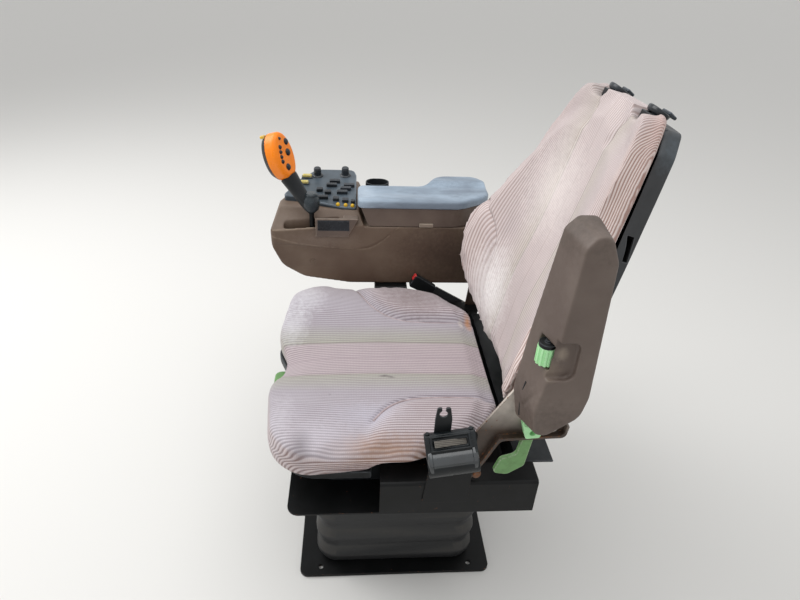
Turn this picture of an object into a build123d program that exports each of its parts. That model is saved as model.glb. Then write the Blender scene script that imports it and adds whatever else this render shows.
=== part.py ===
"""Operator's suspension seat of a combine harvester, with its seat-mounted control console.

Millimetres. The seat faces -Y, +X is the operator's left, +Z is up, and the origin is the centre
of the floor plate's bolt pattern, on the floor.
"""
from build123d import *
from math import cos, radians, sin, sqrt
import os

os.makedirs("parts", exist_ok=True)

# Heights above the cab floor
cushion_top = 480.0
frame_top = 443.0
pan_bottom = 370.0
pan_thickness = 4.0
rail_bottom = 340.0
upper_pan_bottom = 298.0
floor_plate_thickness = 8.0

# Floor plate and suspension
floor_plate_width = 310.0
floor_plate_depth = 420.0
floor_bolt_spacing_x = 270.0
floor_bolt_spacing_y = 330.0
floor_bolt_hole_d = 11.0
boot_width = 262.0
boot_depth = 350.0
boot_folds = 5
boot_fold_depth = 16.0
upper_pan_width = 330.0
upper_pan_depth = 400.0

# Slide rails
rail_spacing = 240.0
rail_length = 400.0
rail_width = 44.0
rail_height = 26.0
rail_wall = 4.0
rail_lip = 9.0
runner_length = 330.0
runner_clearance = 0.6
runner_web = 10.0

# Seat frame
frame_channel_x = 262.0
frame_channel_width = 44.0
frame_wall = 3.0
frame_front = -50.0
frame_rear = 215.0
pan_front = -205.0

# Seat cushion
cushion_core_half = 234.0
cushion_core_front = -170.0
cushion_seat_z = 446.0
cushion_skirt_z = 424.0
cushion_tilt = 2.0
cushion_front = -264.0
cushion_rear = 174.0
cushion_half_width = 279.0
cushion_notch_y = -240.0
cushion_edge = 18.0
dish_depth = 16.0
dish_half_width = 150.0
handle_width = 84.0
handle_stem = 24.0
handle_thickness = 10.0

# Backrest, measured along and square to its own leaning axis
recline_angle = 14.0
backrest_foot_y = 192.0
backrest_curve_r = 425.0
backrest_pad = 46.0
backrest_rim = 22.0
backrest_edge = 16.0
backrest_wall = 4.0
backrest_inset = 6.0
backrest_height = 548.0
backrest_shoulder = 146.0
socket_spacing = 154.0
socket_width = 30.0
socket_depth = 18.0
socket_height = 20.0
notch_width = 36.0
notch_depth = 20.0
spine_front = backrest_pad - 8
spine_depth = 26.0
spine_width = 110.0
spine_foot = 60.0
spine_length = 400.0
slot_x = backrest_shoulder + 33
slot_v = 362.0
slot_span = 36.0
slot_opening = 8.0

# Recline hinge and side brackets
recline_y = 214.0
recline_z = 562.0
recline_pin_d = 16.0
ear_inner_x = 256.0
ear_thickness = 6.0
ear_tab = 22.0
ear_tab_y = 18.0
ear_tab_z = 104.0
bracket_inner_x = 268.0
bracket_thickness = 5.0
bracket_flange = 10.5
pin_clearance = 0.05

# Left armrest
armrest_pivot_y = 195.0
armrest_pivot_z = 658.0
armrest_pin_d = 14.0
armrest_inner_x = 283.0
armrest_width = 67.0
armrest_edge = 4.0
wheel_d = 26.0
wheel_length = 33.0
wheel_x = 325.0
wheel_y = 160.5
wheel_z = 742.0
recess_y = 162.0
recess_width = 68.0
recess_height = 61.0
recess_depth = 9.0

# Console housing
console_inner_x = -302.0
console_width = 223.0
console_bottom = 482.0
console_rear = 204.0
ledge_front_z = 616.0
ledge_rise = 5.0
ledge_cut_top = 740.0
deck_undercut = 24.0
deck_seat_z = 660.0
deck_front = -266.0
deck_rear = -90.0
deck_inner_x = -346.0
deck_inner_z = 668.0
deck_slope = 8.6
seam_z = 632.0
slot_centre_y = -192.0
slot_length = 130.0
slot_width = 15.0
lever_pocket_z = 524.0
panel_low_z = 572.0
panel_rear = 5.0
panel_step = 2.0
plate_front = -184.0
plate_rear = -98.0
plate_low = 591.0
plate_height = 25.0
plate_proud = 6.0
bin_length = 190.0
bin_width = 66.0
bin_depth = 70.0
cup_length = 58.0
cup_width = 46.0
cup_wall = 2.5
cup_top = 684.0

# Console lid
lid_front = -62.0
lid_rear = 222.0
lid_outer_x = -400.0
lid_wide_x = -454.0
lid_gap = 1.0
lid_box_top = 678.0
pad_thickness = 19.0
pad_overhang = 3.0
catch_y = 72.0
catch_length = 32.0
catch_proud = 3.0
lid_hinge_y = 214.0
lid_hinge_z = 626.0
lid_pin_d = 6.0
lid_barrel_d = 12.0
lid_barrel_length = 70.0
lid_lug = 8.0

# Drive lever
lever_x = -314.0
lever_pivot_z = 540.0
lever_pin_d = 10.0
lever_eye_d = 20.0
lever_eye_width = 12.0
lever_stem_d = 11.0
lever_stem_top = 676.0
lever_dome_foot = 662.0
lever_dome_r = 18.0
head_x = -338.0
head_y = -268.0
head_z = 780.0

console_outer_x = console_inner_x - console_width
console_centre_x = (console_inner_x + console_outer_x) / 2


def outline(corners, mode=Mode.ADD):
    """Put a closed face from (u, v, corner radius) rows into the sketch being built."""
    with BuildLine(Plane.XY) as edge_line:
        FilletPolyline(*[(u, v) for u, v, _ in corners], radius=[r for _, _, r in corners], close=True)
    make_face(edge_line.edges(), mode=mode)


def mirrored(half):
    """Corner rows of a shape that is symmetrical about u = 0, from the rows of its +u half."""
    return half + [(-u, v, r) for u, v, r in reversed(half)]


# Floor plate with four bolt holes
with BuildPart() as floor_plate:
    with BuildSketch(Plane.XY):
        RectangleRounded(floor_plate_width, floor_plate_depth, 18)
        with GridLocations(floor_bolt_spacing_x, floor_bolt_spacing_y, 2, 2):
            Circle(floor_bolt_hole_d / 2, mode=Mode.SUBTRACT)
    extrude(amount=floor_plate_thickness)
floor_plate.part.label = "floor_plate"
export_step(floor_plate.part, "parts/floor_plate.step")

# Rubber boot: each fold bulges out from the neck size and comes back in
fold_pitch = (upper_pan_bottom - floor_plate_thickness) / boot_folds
with BuildPart() as suspension_boot:
    for fold in range(boot_folds):
        fold_bottom = floor_plate_thickness + fold * fold_pitch
        for low, inset_low, inset_high in ((0.0, boot_fold_depth, 0.0), (0.5, 0.0, boot_fold_depth)):
            with BuildSketch(Plane.XY.offset(fold_bottom + low * fold_pitch)):
                RectangleRounded(boot_width - inset_low, boot_depth - inset_low, 40)
            with BuildSketch(Plane.XY.offset(fold_bottom + (low + 0.5) * fold_pitch)):
                RectangleRounded(boot_width - inset_high, boot_depth - inset_high, 40)
            loft(ruled=True)
suspension_boot.part.label = "suspension_boot"
export_step(suspension_boot.part, "parts/suspension_boot.step")

# Upper pan of the suspension
with BuildPart() as upper_pan:
    with BuildSketch(Plane.XY.offset(upper_pan_bottom)):
        RectangleRounded(upper_pan_width, upper_pan_depth, 24)
    extrude(amount=rail_bottom - upper_pan_bottom)
    chamfer(upper_pan.edges().group_by(Axis.Z)[-1], 5)
upper_pan.part.label = "upper_pan"
export_step(upper_pan.part, "parts/upper_pan.step")

# Slide rails, lipped channels with their runners inside
rail_mouth = rail_width - 2 * rail_wall - 2 * rail_lip
for side, side_name in ((1, "left"), (-1, "right")):
    rail_x = side * rail_spacing / 2
    with BuildPart() as slide_rail:
        with BuildSketch(Plane.XZ.offset(-rail_length / 2)):
            with Locations((rail_x, rail_bottom + rail_height / 2)):
                Rectangle(rail_width, rail_height)
                Rectangle(rail_width - 2 * rail_wall, rail_height - 2 * rail_wall, mode=Mode.SUBTRACT)
            with Locations((rail_x, rail_bottom + rail_height - rail_wall / 2)):
                Rectangle(rail_mouth, rail_wall, mode=Mode.SUBTRACT)
        extrude(amount=rail_length)
    slide_rail.part.label = f"slide_rail_{side_name}"
    export_step(slide_rail.part, f"parts/slide_rail_{side_name}.step")

    foot_width = rail_width - 2 * rail_wall - 2 * runner_clearance
    foot_height = rail_height - 2 * rail_wall - 2 * runner_clearance
    foot_bottom = rail_bottom + rail_wall + runner_clearance
    with BuildPart() as slide_runner:
        with BuildSketch(Plane.XZ.offset(-runner_length / 2)):
            with Locations((rail_x, foot_bottom + foot_height / 2)):
                Rectangle(foot_width, foot_height)
            with Locations((rail_x, (foot_bottom + pan_bottom) / 2)):
                Rectangle(runner_web, pan_bottom - foot_bottom)
        extrude(amount=runner_length)
    slide_runner.part.label = f"slide_runner_{side_name}"
    export_step(slide_runner.part, f"parts/slide_runner_{side_name}.step")

# Seat frame: floor pan and a folded side channel each side
with BuildPart() as seat_frame:
    with BuildSketch(Plane.XY.offset(pan_bottom)):
        with Locations((0, (pan_front + frame_rear) / 2)):
            Rectangle(2 * frame_channel_x + frame_channel_width, frame_rear - pan_front)
            fillet(vertices(), 20)
    extrude(amount=pan_thickness)
    for side in (1, -1):
        channel_outer = frame_channel_x + frame_channel_width / 2
        channel_inner = frame_channel_x - frame_channel_width / 2
        with BuildSketch(Plane.XZ.offset(-frame_rear)):
            outline([(side * channel_outer, pan_bottom, 0), (side * channel_outer, frame_top, 6),
                     (side * channel_inner, frame_top, 0), (side * channel_inner, frame_top - frame_wall, 0),
                     (side * (channel_outer - frame_wall), frame_top - frame_wall, 4),
                     (side * (channel_outer - frame_wall), pan_bottom, 0)])
        extrude(amount=frame_rear - frame_front)
seat_frame.part.label = "seat_frame"
export_step(seat_frame.part, "parts/seat_frame.step")

# Seat cushion: two thigh lobes at the front, tucked corners at the rear
# Corner rows: x, y, corner radius
cushion_plan = mirrored([
    (22, cushion_notch_y, 80), (82, cushion_front, 80), (cushion_half_width - 47, cushion_front + 22, 80),
    (cushion_half_width, -186, 80), (cushion_half_width, 0, 70), (cushion_half_width - 36, 95, 60),
    (150, cushion_rear, 60)])
with BuildPart() as seat_cushion:
    with BuildSketch(Plane.XY.offset(cushion_seat_z)):
        outline(cushion_plan)
    extrude(amount=cushion_top - cushion_seat_z + 2 * dish_depth)
    tilted_top = Plane(origin=(0, cushion_front, cushion_top + dish_depth), x_dir=(1, 0, 0),
                       z_dir=(0, sin(radians(cushion_tilt)), cos(radians(cushion_tilt))))
    split(bisect_by=tilted_top, keep=Keep.BOTTOM)
    fillet(seat_cushion.faces().sort_by(Axis.Z)[-1].edges(), cushion_edge)
    dish_radius = (dish_half_width ** 2 + dish_depth ** 2) / (2 * dish_depth)
    with BuildSketch(Plane(origin=(0, cushion_front - 20, cushion_top), x_dir=(1, 0, 0),
                           z_dir=(0, cos(radians(cushion_tilt)), -sin(radians(cushion_tilt))))):
        with Locations((0, -dish_radius)):
            Circle(dish_radius)
    extrude(amount=cushion_rear - cushion_front + 60, mode=Mode.SUBTRACT)
    with BuildSketch(Plane.XY.offset(cushion_skirt_z)):
        outline(cushion_plan)
        with Locations((0, cushion_front + 100)):
            Rectangle(2 * cushion_half_width + 20, 200, mode=Mode.INTERSECT)
    extrude(amount=cushion_seat_z - cushion_skirt_z)
    with BuildSketch(Plane.XY.offset(pan_bottom + pan_thickness)):
        with Locations((0, (cushion_core_front + cushion_rear - 12) / 2)):
            Rectangle(2 * cushion_core_half, cushion_rear - 12 - cushion_core_front)
            fillet(vertices(), 40)
    extrude(amount=cushion_seat_z - pan_bottom - pan_thickness)
seat_cushion.part.label = "seat_cushion"
export_step(seat_cushion.part, "parts/seat_cushion.step")

# Green slide release handle in the notch between the thigh lobes
handle_z = cushion_skirt_z - 16
with BuildPart() as slide_handle:
    with BuildSketch(Plane.XY.offset(handle_z)):
        outline(mirrored([
            (handle_stem / 2, pan_front + handle_stem + 4, 0), (handle_stem / 2, cushion_front + 46, 10),
            (handle_width / 2, cushion_front + 36, 10), (handle_width / 2, cushion_front + 7, 14)]))
    extrude(amount=handle_thickness)
    with BuildSketch(Plane.XY.offset(pan_bottom + pan_thickness)):
        with Locations((0, pan_front + handle_stem / 2 + 4)):
            Rectangle(handle_stem, handle_stem)
    extrude(amount=handle_z - pan_bottom - pan_thickness)
slide_handle.part.label = "slide_handle"
export_step(slide_handle.part, "parts/slide_handle.step")

# Backrest cushion: a slab that wraps round the operator, cut to its outline seen from the front
# Corner rows: across, up the back, corner radius
lean = radians(recline_angle)
back_origin = (0, backrest_foot_y, cushion_top)
back_base = Plane(origin=back_origin, x_dir=(1, 0, 0), z_dir=(0, sin(lean), cos(lean)))
back_face = Plane(origin=back_origin, x_dir=(1, 0, 0), z_dir=(0, -cos(lean), sin(lean)))
back_side = Plane(origin=back_origin, x_dir=(0, cos(lean), -sin(lean)), z_dir=(1, 0, 0))
notch_floor = backrest_height - notch_depth
back_low_rows = [(112, -10, 110), (238, 70, 130), (260, 190, 140), (180, 392, 200)]
back_outline = mirrored(back_low_rows + [
    (backrest_shoulder, backrest_height - 46, 36), (backrest_shoulder - 22, backrest_height - 2, 24)])
shell_outline = mirrored(back_low_rows + [
    (backrest_shoulder, backrest_height - 50, 36), (backrest_shoulder - 28, backrest_height - 16, 24)])


def wrapped_slab(front_offset, thickness):
    """Plan section of a slab that starts front_offset behind the backrest's curved front."""
    with Locations((0, -backrest_curve_r)):
        Circle(backrest_curve_r + front_offset + thickness)
        Circle(backrest_curve_r + front_offset, mode=Mode.SUBTRACT)
    Rectangle(600, 320, mode=Mode.INTERSECT)


with BuildPart() as backrest_cushion:
    with BuildSketch(back_base.offset(-30)):
        wrapped_slab(0, backrest_pad)
    extrude(amount=backrest_height + 40)
    with BuildSketch(back_face):
        outline(back_outline)
    extrude(amount=200, both=True, mode=Mode.INTERSECT)
    front_skin = backrest_cushion.faces().filter_by(GeomType.CYLINDER).sort_by(SortBy.AREA)[-2]
    fillet(front_skin.edges(), backrest_edge)
    with BuildSketch(back_base.offset(notch_floor)):
        with GridLocations(socket_spacing, 1, 2, 1):
            RectangleRounded(notch_width, 4 * backrest_pad, 8)
    extrude(amount=2 * notch_depth, mode=Mode.SUBTRACT)
    with BuildSketch(back_base.offset(spine_foot)):
        with Locations((0, spine_front + spine_depth / 2)):
            Rectangle(spine_width, spine_depth)
    extrude(amount=spine_length, mode=Mode.SUBTRACT)
    with BuildSketch(back_base.offset(notch_floor - socket_height / 2)):
        with GridLocations(socket_spacing, 1, 2, 1):
            with Locations((0, backrest_pad / 2)):
                Rectangle(socket_width, socket_depth)
    extrude(amount=socket_height, mode=Mode.SUBTRACT)
backrest_cushion.part.label = "backrest_cushion"
export_step(backrest_cushion.part, "parts/backrest_cushion.step")

# Back shell: a tray behind the cushion with a flat spine inside, and a slot through its left rim
with BuildPart() as shell_hollow:
    with BuildSketch(back_base.offset(-30)):
        wrapped_slab(backrest_pad - 1, backrest_rim - backrest_wall + 1)
    extrude(amount=backrest_height + 40)
    with BuildSketch(back_face):
        outline(shell_outline)
        offset(amount=-backrest_inset - backrest_wall)
    extrude(amount=200, both=True, mode=Mode.INTERSECT)

with BuildPart() as backrest_shell:
    with BuildSketch(back_base.offset(-30)):
        wrapped_slab(backrest_pad, backrest_rim)
    extrude(amount=backrest_height + 40)
    with BuildSketch(back_face):
        outline(shell_outline)
        offset(amount=-backrest_inset)
    extrude(amount=200, both=True, mode=Mode.INTERSECT)
    rear_skin = backrest_shell.faces().filter_by(GeomType.CYLINDER).sort_by(SortBy.AREA)[-1]
    fillet(rear_skin.edges(), 8)
    add(shell_hollow.part, mode=Mode.SUBTRACT)
    with BuildSketch(back_base.offset(spine_foot)):
        with Locations((0, spine_front + spine_depth / 2)):
            Rectangle(spine_width, spine_depth)
    extrude(amount=spine_length)
    slot_depth = sqrt((backrest_curve_r + backrest_pad + backrest_rim / 2) ** 2 - slot_x ** 2) - backrest_curve_r
    with BuildSketch(back_side.offset(slot_x - 20)):
        with Locations((slot_depth, slot_v)):
            Rectangle(slot_opening, slot_span)
    extrude(amount=60, mode=Mode.SUBTRACT)
backrest_shell.part.label = "backrest_shell"
export_step(backrest_shell.part, "parts/backrest_shell.step")

# Sockets for a backrest extension, seated in the cushion's top
with BuildPart() as extension_sockets:
    with BuildSketch(back_base.offset(notch_floor - socket_height / 2)):
        with GridLocations(socket_spacing, 1, 2, 1):
            with Locations((0, backrest_pad / 2)):
                Rectangle(socket_width, socket_depth)
                Rectangle(socket_width - 12, socket_depth - 10, mode=Mode.SUBTRACT)
    extrude(amount=socket_height)
extension_sockets.part.label = "extension_sockets"
export_step(extension_sockets.part, "parts/extension_sockets.step")

# Recline ears on the backrest, and the seat's brackets and pins that carry them
ear_rows = [
    (recline_y - 22, recline_z - 22, 20), (recline_y + 22, recline_z - 22, 20), (recline_y + 46, recline_z + 122, 14),
    (recline_y + 6, recline_z + 130, 14)]
# Corner rows: y, z, corner radius
bracket_rows = {
    "left": [
        (60, frame_top, 0), (94, frame_top, 0), (118, frame_top + 49, 24), (recline_y - 77, recline_z - 26, 12),
        (recline_y + 26, recline_z - 21, 10), (recline_y + 32, recline_z + 38, 20),
        (armrest_pivot_y + 29, armrest_pivot_z + 22, 26), (armrest_pivot_y - 11, armrest_pivot_z + 36, 24),
        (armrest_pivot_y - 35, armrest_pivot_z - 3, 20), (84, frame_top + 77, 60), (56, frame_top + 27, 12)],
    "right": [
        (178, frame_top, 0), (frame_rear, frame_top, 0), (recline_y + 26, recline_z - 42, 20),
        (recline_y + 30, recline_z + 30, 14), (recline_y - 22, recline_z + 30, 14), (recline_y - 30, recline_z - 42, 30)]}
brackets = {}
for side, side_name in ((1, "left"), (-1, "right")):
    with BuildPart() as recline_ear:
        with BuildSketch(Plane.YZ.offset(side * ear_inner_x)):
            outline(ear_rows)
            with Locations((recline_y, recline_z)):
                Circle(recline_pin_d / 2 + pin_clearance, mode=Mode.SUBTRACT)
        extrude(amount=side * ear_thickness)
        with BuildSketch(Plane.YZ.offset(side * (ear_inner_x - ear_tab))):
            with Locations((recline_y + ear_tab_y, recline_z + ear_tab_z)):
                Rectangle(26, 40)
        extrude(amount=side * ear_tab)
        add(backrest_shell.part, mode=Mode.SUBTRACT)
        add(backrest_cushion.part, mode=Mode.SUBTRACT)
    recline_ear.part.label = f"recline_ear_{side_name}"
    export_step(recline_ear.part, f"parts/recline_ear_{side_name}.step")

    with BuildPart() as side_bracket:
        with BuildSketch(Plane.YZ.offset(side * bracket_inner_x)):
            outline(bracket_rows[side_name])
            with Locations((recline_y, recline_z)):
                Circle(recline_pin_d / 2 + pin_clearance, mode=Mode.SUBTRACT)
            if side_name == "left":
                with Locations((armrest_pivot_y, armrest_pivot_z)):
                    Circle(armrest_pin_d / 2 + pin_clearance, mode=Mode.SUBTRACT)
        extrude(amount=side * bracket_thickness)
        if side_name == "left":
            with BuildSketch(Plane.YZ.offset(bracket_inner_x + bracket_thickness)):
                outline(bracket_rows[side_name])
                outline([(u - 4, v + 5, r) for u, v, r in bracket_rows[side_name]], mode=Mode.SUBTRACT)
                with Locations((150, recline_z - 62)):
                    Rectangle(190, 130, mode=Mode.INTERSECT)
            extrude(amount=bracket_flange)
    brackets[side_name] = side_bracket.part
    side_bracket.part.label = f"side_bracket_{side_name}"
    export_step(side_bracket.part, f"parts/side_bracket_{side_name}.step")

    with BuildPart() as recline_pin:
        for start, length, diameter in (
                (ear_inner_x - 4, bracket_inner_x + bracket_thickness - ear_inner_x + 4, recline_pin_d),
                (ear_inner_x + ear_thickness + 0.3, bracket_inner_x - ear_inner_x - ear_thickness - 0.3, 24),
                (bracket_inner_x + bracket_thickness, 6, 26)):
            with BuildSketch(Plane.YZ.offset(side * start)):
                with Locations((recline_y, recline_z)):
                    Circle(diameter / 2)
            extrude(amount=side * length)
    recline_pin.part.label = f"recline_pin_{side_name}"
    export_step(recline_pin.part, f"parts/recline_pin_{side_name}.step")

# Green recline paddle below the left bracket's rear arm, and the light green wedge knob behind it
with BuildPart() as recline_paddle:
    with BuildSketch(Plane.YZ.offset(bracket_inner_x + bracket_thickness)):
        outline([(132, recline_z - 100, 8), (158, recline_z - 104, 12), (184, recline_z - 84, 10),
                 (190, recline_z - 21, 0), (172, recline_z - 21, 0), (166, recline_z - 60, 12),
                 (142, recline_z - 68, 12)])
    extrude(amount=8)
    add(brackets["left"], mode=Mode.SUBTRACT)
recline_paddle.part.label = "recline_paddle"
export_step(recline_paddle.part, "parts/recline_paddle.step")

with BuildPart() as wedge_knob:
    with BuildSketch(Plane.YZ.offset(bracket_inner_x + bracket_thickness)):
        outline([(164, recline_z + 14, 3), (198, recline_z + 2, 6), (194, recline_z - 12, 4),
                 (172, recline_z - 14, 4)])
        with Locations((182, recline_z - 2)):
            Circle(5, mode=Mode.SUBTRACT)
    extrude(amount=bracket_flange + 8)
wedge_knob.part.label = "wedge_knob"
export_step(wedge_knob.part, "parts/wedge_knob.step")

# Left armrest, standing up as in the photograph, on a pin through the left bracket
# Corner rows: y and z from the pivot, corner radius, then how far the outer side's corner is back and up
armrest_rows = [
    (-45, -66, 12, 8, 24), (-57, -8, 60, 14, 8), (-50, 80, 120, 21, 0), (-30, 247, 14, 7, 0), (-15, 263, 10, 4, 0),
    (11, 263, 14, -5, 0), (37, 228, 18, -17, 0), (53, 22, 50, -24, 0), (41, -28, 30, -18, 16), (-23, -72, 16, 4, 26)]
armrest_inner_rows = [(armrest_pivot_y + u, armrest_pivot_z + v, r) for u, v, r, _, _ in armrest_rows]
armrest_outer_rows = [
    (armrest_pivot_y + u + back, armrest_pivot_z + v + up, r) for u, v, r, back, up in armrest_rows]
wheel_gap = 3.0
with BuildPart() as armrest:
    with BuildSketch(Plane.YZ.offset(armrest_inner_x)):
        outline(armrest_inner_rows)
    with BuildSketch(Plane.YZ.offset(armrest_inner_x + armrest_width)):
        outline(armrest_outer_rows)
    loft(ruled=True)
    fillet(armrest.faces().sort_by(Axis.X)[-1].edges(), armrest_edge)
    fillet(armrest.faces().sort_by(Axis.X)[0].edges(), armrest_edge)
    with BuildSketch(Plane.YZ.offset(armrest_inner_x)):
        with Locations((armrest_pivot_y, armrest_pivot_z)):
            Circle(armrest_pin_d / 2 + pin_clearance)
    extrude(amount=armrest_width - 18, mode=Mode.SUBTRACT)
    with BuildSketch(Plane.XY.offset(wheel_z - wheel_length / 2 - wheel_gap)):
        with Locations((wheel_x, wheel_y)):
            Circle(wheel_d / 2 + wheel_gap)
        with Locations((wheel_x, wheel_y - wheel_d)):
            Rectangle(wheel_d + 2 * wheel_gap, 2 * wheel_d)
    extrude(amount=wheel_length + 2 * wheel_gap, mode=Mode.SUBTRACT)
    with BuildSketch(Plane.YZ.offset(armrest_inner_x + armrest_width - recess_depth)):
        with Locations((recess_y, wheel_z)):
            RectangleRounded(recess_width, recess_height, 12)
    extrude(amount=recess_depth + 3, mode=Mode.SUBTRACT)
armrest.part.label = "armrest"
export_step(armrest.part, "parts/armrest.step")

cap_length = 6.0
with BuildPart() as armrest_wheel:
    with BuildSketch(Plane.XY.offset(wheel_z - wheel_length / 2)):
        with Locations((wheel_x, wheel_y)):
            Circle(wheel_d / 2)
            with PolarLocations(wheel_d / 2, 12):
                Circle(1.6, mode=Mode.SUBTRACT)
    extrude(amount=wheel_length - cap_length)
    with BuildSketch(Plane.XY.offset(wheel_z - wheel_length / 2 - wheel_gap)):
        with Locations((wheel_x, wheel_y)):
            Circle(4)
    extrude(amount=wheel_gap)
armrest_wheel.part.label = "armrest_wheel"
export_step(armrest_wheel.part, "parts/armrest_wheel.step")

with BuildPart() as wheel_cap:
    with BuildSketch(Plane.XY.offset(wheel_z + wheel_length / 2 - cap_length)):
        with Locations((wheel_x, wheel_y)):
            Circle(wheel_d / 2 - 1)
    extrude(amount=cap_length)
    with BuildSketch(Plane.XY.offset(wheel_z + wheel_length / 2)):
        with Locations((wheel_x, wheel_y)):
            Circle(4)
    extrude(amount=wheel_gap)
wheel_cap.part.label = "wheel_cap"
export_step(wheel_cap.part, "parts/wheel_cap.step")

with BuildPart() as armrest_pin:
    for start, length, diameter in (
            (bracket_inner_x - 6, 6, 24),
            (bracket_inner_x, armrest_inner_x - bracket_inner_x + armrest_width - 22, armrest_pin_d),
            (bracket_inner_x + bracket_thickness, armrest_inner_x - bracket_inner_x - bracket_thickness - 0.3, 26)):
        with BuildSketch(Plane.YZ.offset(start)):
            with Locations((armrest_pivot_y, armrest_pivot_z)):
                Circle(diameter / 2)
        extrude(amount=length)
armrest_pin.part.label = "armrest_pin"
export_step(armrest_pin.part, "parts/armrest_pin.step")

# Belt retractor on the left channel: slot face above, spool cover below, forked tongue standing up
channel_outer = frame_channel_x + frame_channel_width / 2
retractor_tilt = radians(10)
retractor_length = 78.0
retractor_foot = 14.0
drum_d = 42.0
retractor_rear = Plane(origin=(channel_outer + 3, 102, 500), x_dir=(1, 0, 0),
                       z_dir=(0, -cos(retractor_tilt), -sin(retractor_tilt)))
with BuildPart() as retractor_bracket:
    with BuildSketch(Plane.YZ.offset(channel_outer)):
        outline([(20, 400, 6), (98, 400, 6), (98, 560, 8), (34, 560, 8)])
    extrude(amount=3)
retractor_bracket.part.label = "retractor_bracket"
export_step(retractor_bracket.part, "parts/retractor_bracket.step")

with BuildPart() as belt_retractor:
    with BuildSketch(retractor_rear):
        outline([(0, retractor_foot, 3), (0, 74, 3), (12, 80, 4), (34, 58, 6), (44, 46, 0), (30, retractor_foot, 6)])
        with Locations((27, retractor_foot + drum_d / 2)):
            Circle(drum_d / 2)
    extrude(amount=retractor_length)
    with BuildSketch(retractor_rear.offset(14)):
        with Locations((23, 69)):
            with Locations(Rotation(0, 0, -45)):
                Rectangle(9, 14)
    extrude(amount=50, mode=Mode.SUBTRACT)
belt_retractor.part.label = "belt_retractor"
export_step(belt_retractor.part, "parts/belt_retractor.step")

with BuildPart() as belt_webbing:
    with BuildSketch(retractor_rear.offset(14)):
        with Locations((21, 67)):
            with Locations(Rotation(0, 0, -45)):
                Rectangle(4, 8)
    extrude(amount=50)
belt_webbing.part.label = "belt_webbing"
export_step(belt_webbing.part, "parts/belt_webbing.step")

tongue_x = channel_outer + 5
with BuildPart() as belt_tongue:
    with BuildSketch(Plane.YZ.offset(tongue_x)):
        outline([(28, 556, 0), (54, 556, 0), (54, 592, 4), (50, 614, 3), (43, 614, 2), (42.5, 606, 2), (37.5, 606, 2),
                 (37, 614, 2), (30, 614, 3), (28, 592, 4)])
        with Locations((40, 602)):
            Circle(6, mode=Mode.SUBTRACT)
    extrude(amount=3)
    add(belt_retractor.part, mode=Mode.SUBTRACT)
belt_tongue.part.label = "belt_tongue"
export_step(belt_tongue.part, "parts/belt_tongue.step")

# Belt buckle on its webbing strap, anchored to the right channel
buckle_tip = Vector(0, 46, 500)
buckle_anchor = Vector(0, 178, 424)
buckle_length = 62.0
buckle_along = (buckle_anchor - buckle_tip).normalized()
buckle_x = -290.0
buckle_plane = Plane(origin=(buckle_x, buckle_tip.Y, buckle_tip.Z), x_dir=buckle_along, z_dir=(1, 0, 0))
strap_length = (buckle_anchor - buckle_tip).length - buckle_length
with BuildPart() as buckle_body:
    with BuildSketch(buckle_plane):
        outline([(0, -17, 5), (buckle_length, -14, 6), (buckle_length, 14, 6), (0, 17, 5)])
    extrude(amount=8, both=True)
    with BuildSketch(buckle_plane):
        with Locations((4, 9)):
            Rectangle(12, 14)
    extrude(amount=6, both=True, mode=Mode.SUBTRACT)
buckle_body.part.label = "buckle_body"
export_step(buckle_body.part, "parts/buckle_body.step")

with BuildPart() as buckle_button:
    with BuildSketch(buckle_plane):
        with Locations((4, 9)):
            Rectangle(12, 14)
    extrude(amount=6, both=True)
buckle_button.part.label = "buckle_button"
export_step(buckle_button.part, "parts/buckle_button.step")

with BuildPart() as buckle_strap:
    with BuildSketch(buckle_plane):
        with Locations((buckle_length + strap_length / 2, 0)):
            Rectangle(strap_length, 26)
        with Locations((buckle_length + strap_length, 0)):
            Circle(13)
            Circle(6, mode=Mode.SUBTRACT)
    extrude(amount=3, both=True)
buckle_strap.part.label = "buckle_strap"
export_step(buckle_strap.part, "parts/buckle_strap.step")

with BuildPart() as buckle_anchor_plate:
    with BuildSketch(Plane.YZ.offset(-channel_outer)):
        with Locations((buckle_anchor.Y, buckle_anchor.Z)):
            Circle(17)
    extrude(amount=-3)
    with BuildSketch(Plane.YZ.offset(-channel_outer)):
        with Locations((buckle_anchor.Y, buckle_anchor.Z)):
            Circle(6)
    extrude(amount=-9)
    with BuildSketch(Plane.YZ.offset(buckle_x - 3)):
        with Locations((buckle_anchor.Y, buckle_anchor.Z)):
            Circle(9)
    extrude(amount=-5)
buckle_anchor_plate.part.label = "buckle_anchor_plate"
export_step(buckle_anchor_plate.part, "parts/buckle_anchor_plate.step")

# Carrier arm under the console, bolted to the frame's right channel
arm_front = -44.0
arm_rear = 34.0
arm_thickness = 6.0
with BuildPart() as console_arm:
    with BuildSketch(Plane.XZ.offset(-arm_rear)):
        outline([(-channel_outer, 378, 0), (-channel_outer, console_bottom, 8),
                 (console_outer_x + 40, console_bottom, 0), (console_outer_x + 40, console_bottom - arm_thickness, 0),
                 (-channel_outer - 70, console_bottom - arm_thickness, 30), (-channel_outer - arm_thickness, 410, 30),
                 (-channel_outer - arm_thickness, 378, 0)])
    extrude(amount=arm_rear - arm_front)
console_arm.part.label = "console_arm"
export_step(console_arm.part, "parts/console_arm.step")

# Drive lever pin, in the housing across the lever pocket
with BuildPart() as lever_pin:
    with BuildSketch(Plane.YZ.offset(lever_x + slot_width / 2 + 2)):
        with Locations((slot_centre_y, lever_pivot_z)):
            Circle(lever_pin_d / 2)
    extrude(amount=-slot_width - 14)
lever_pin.part.label = "lever_pin"
export_step(lever_pin.part, "parts/lever_pin.step")

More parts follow.
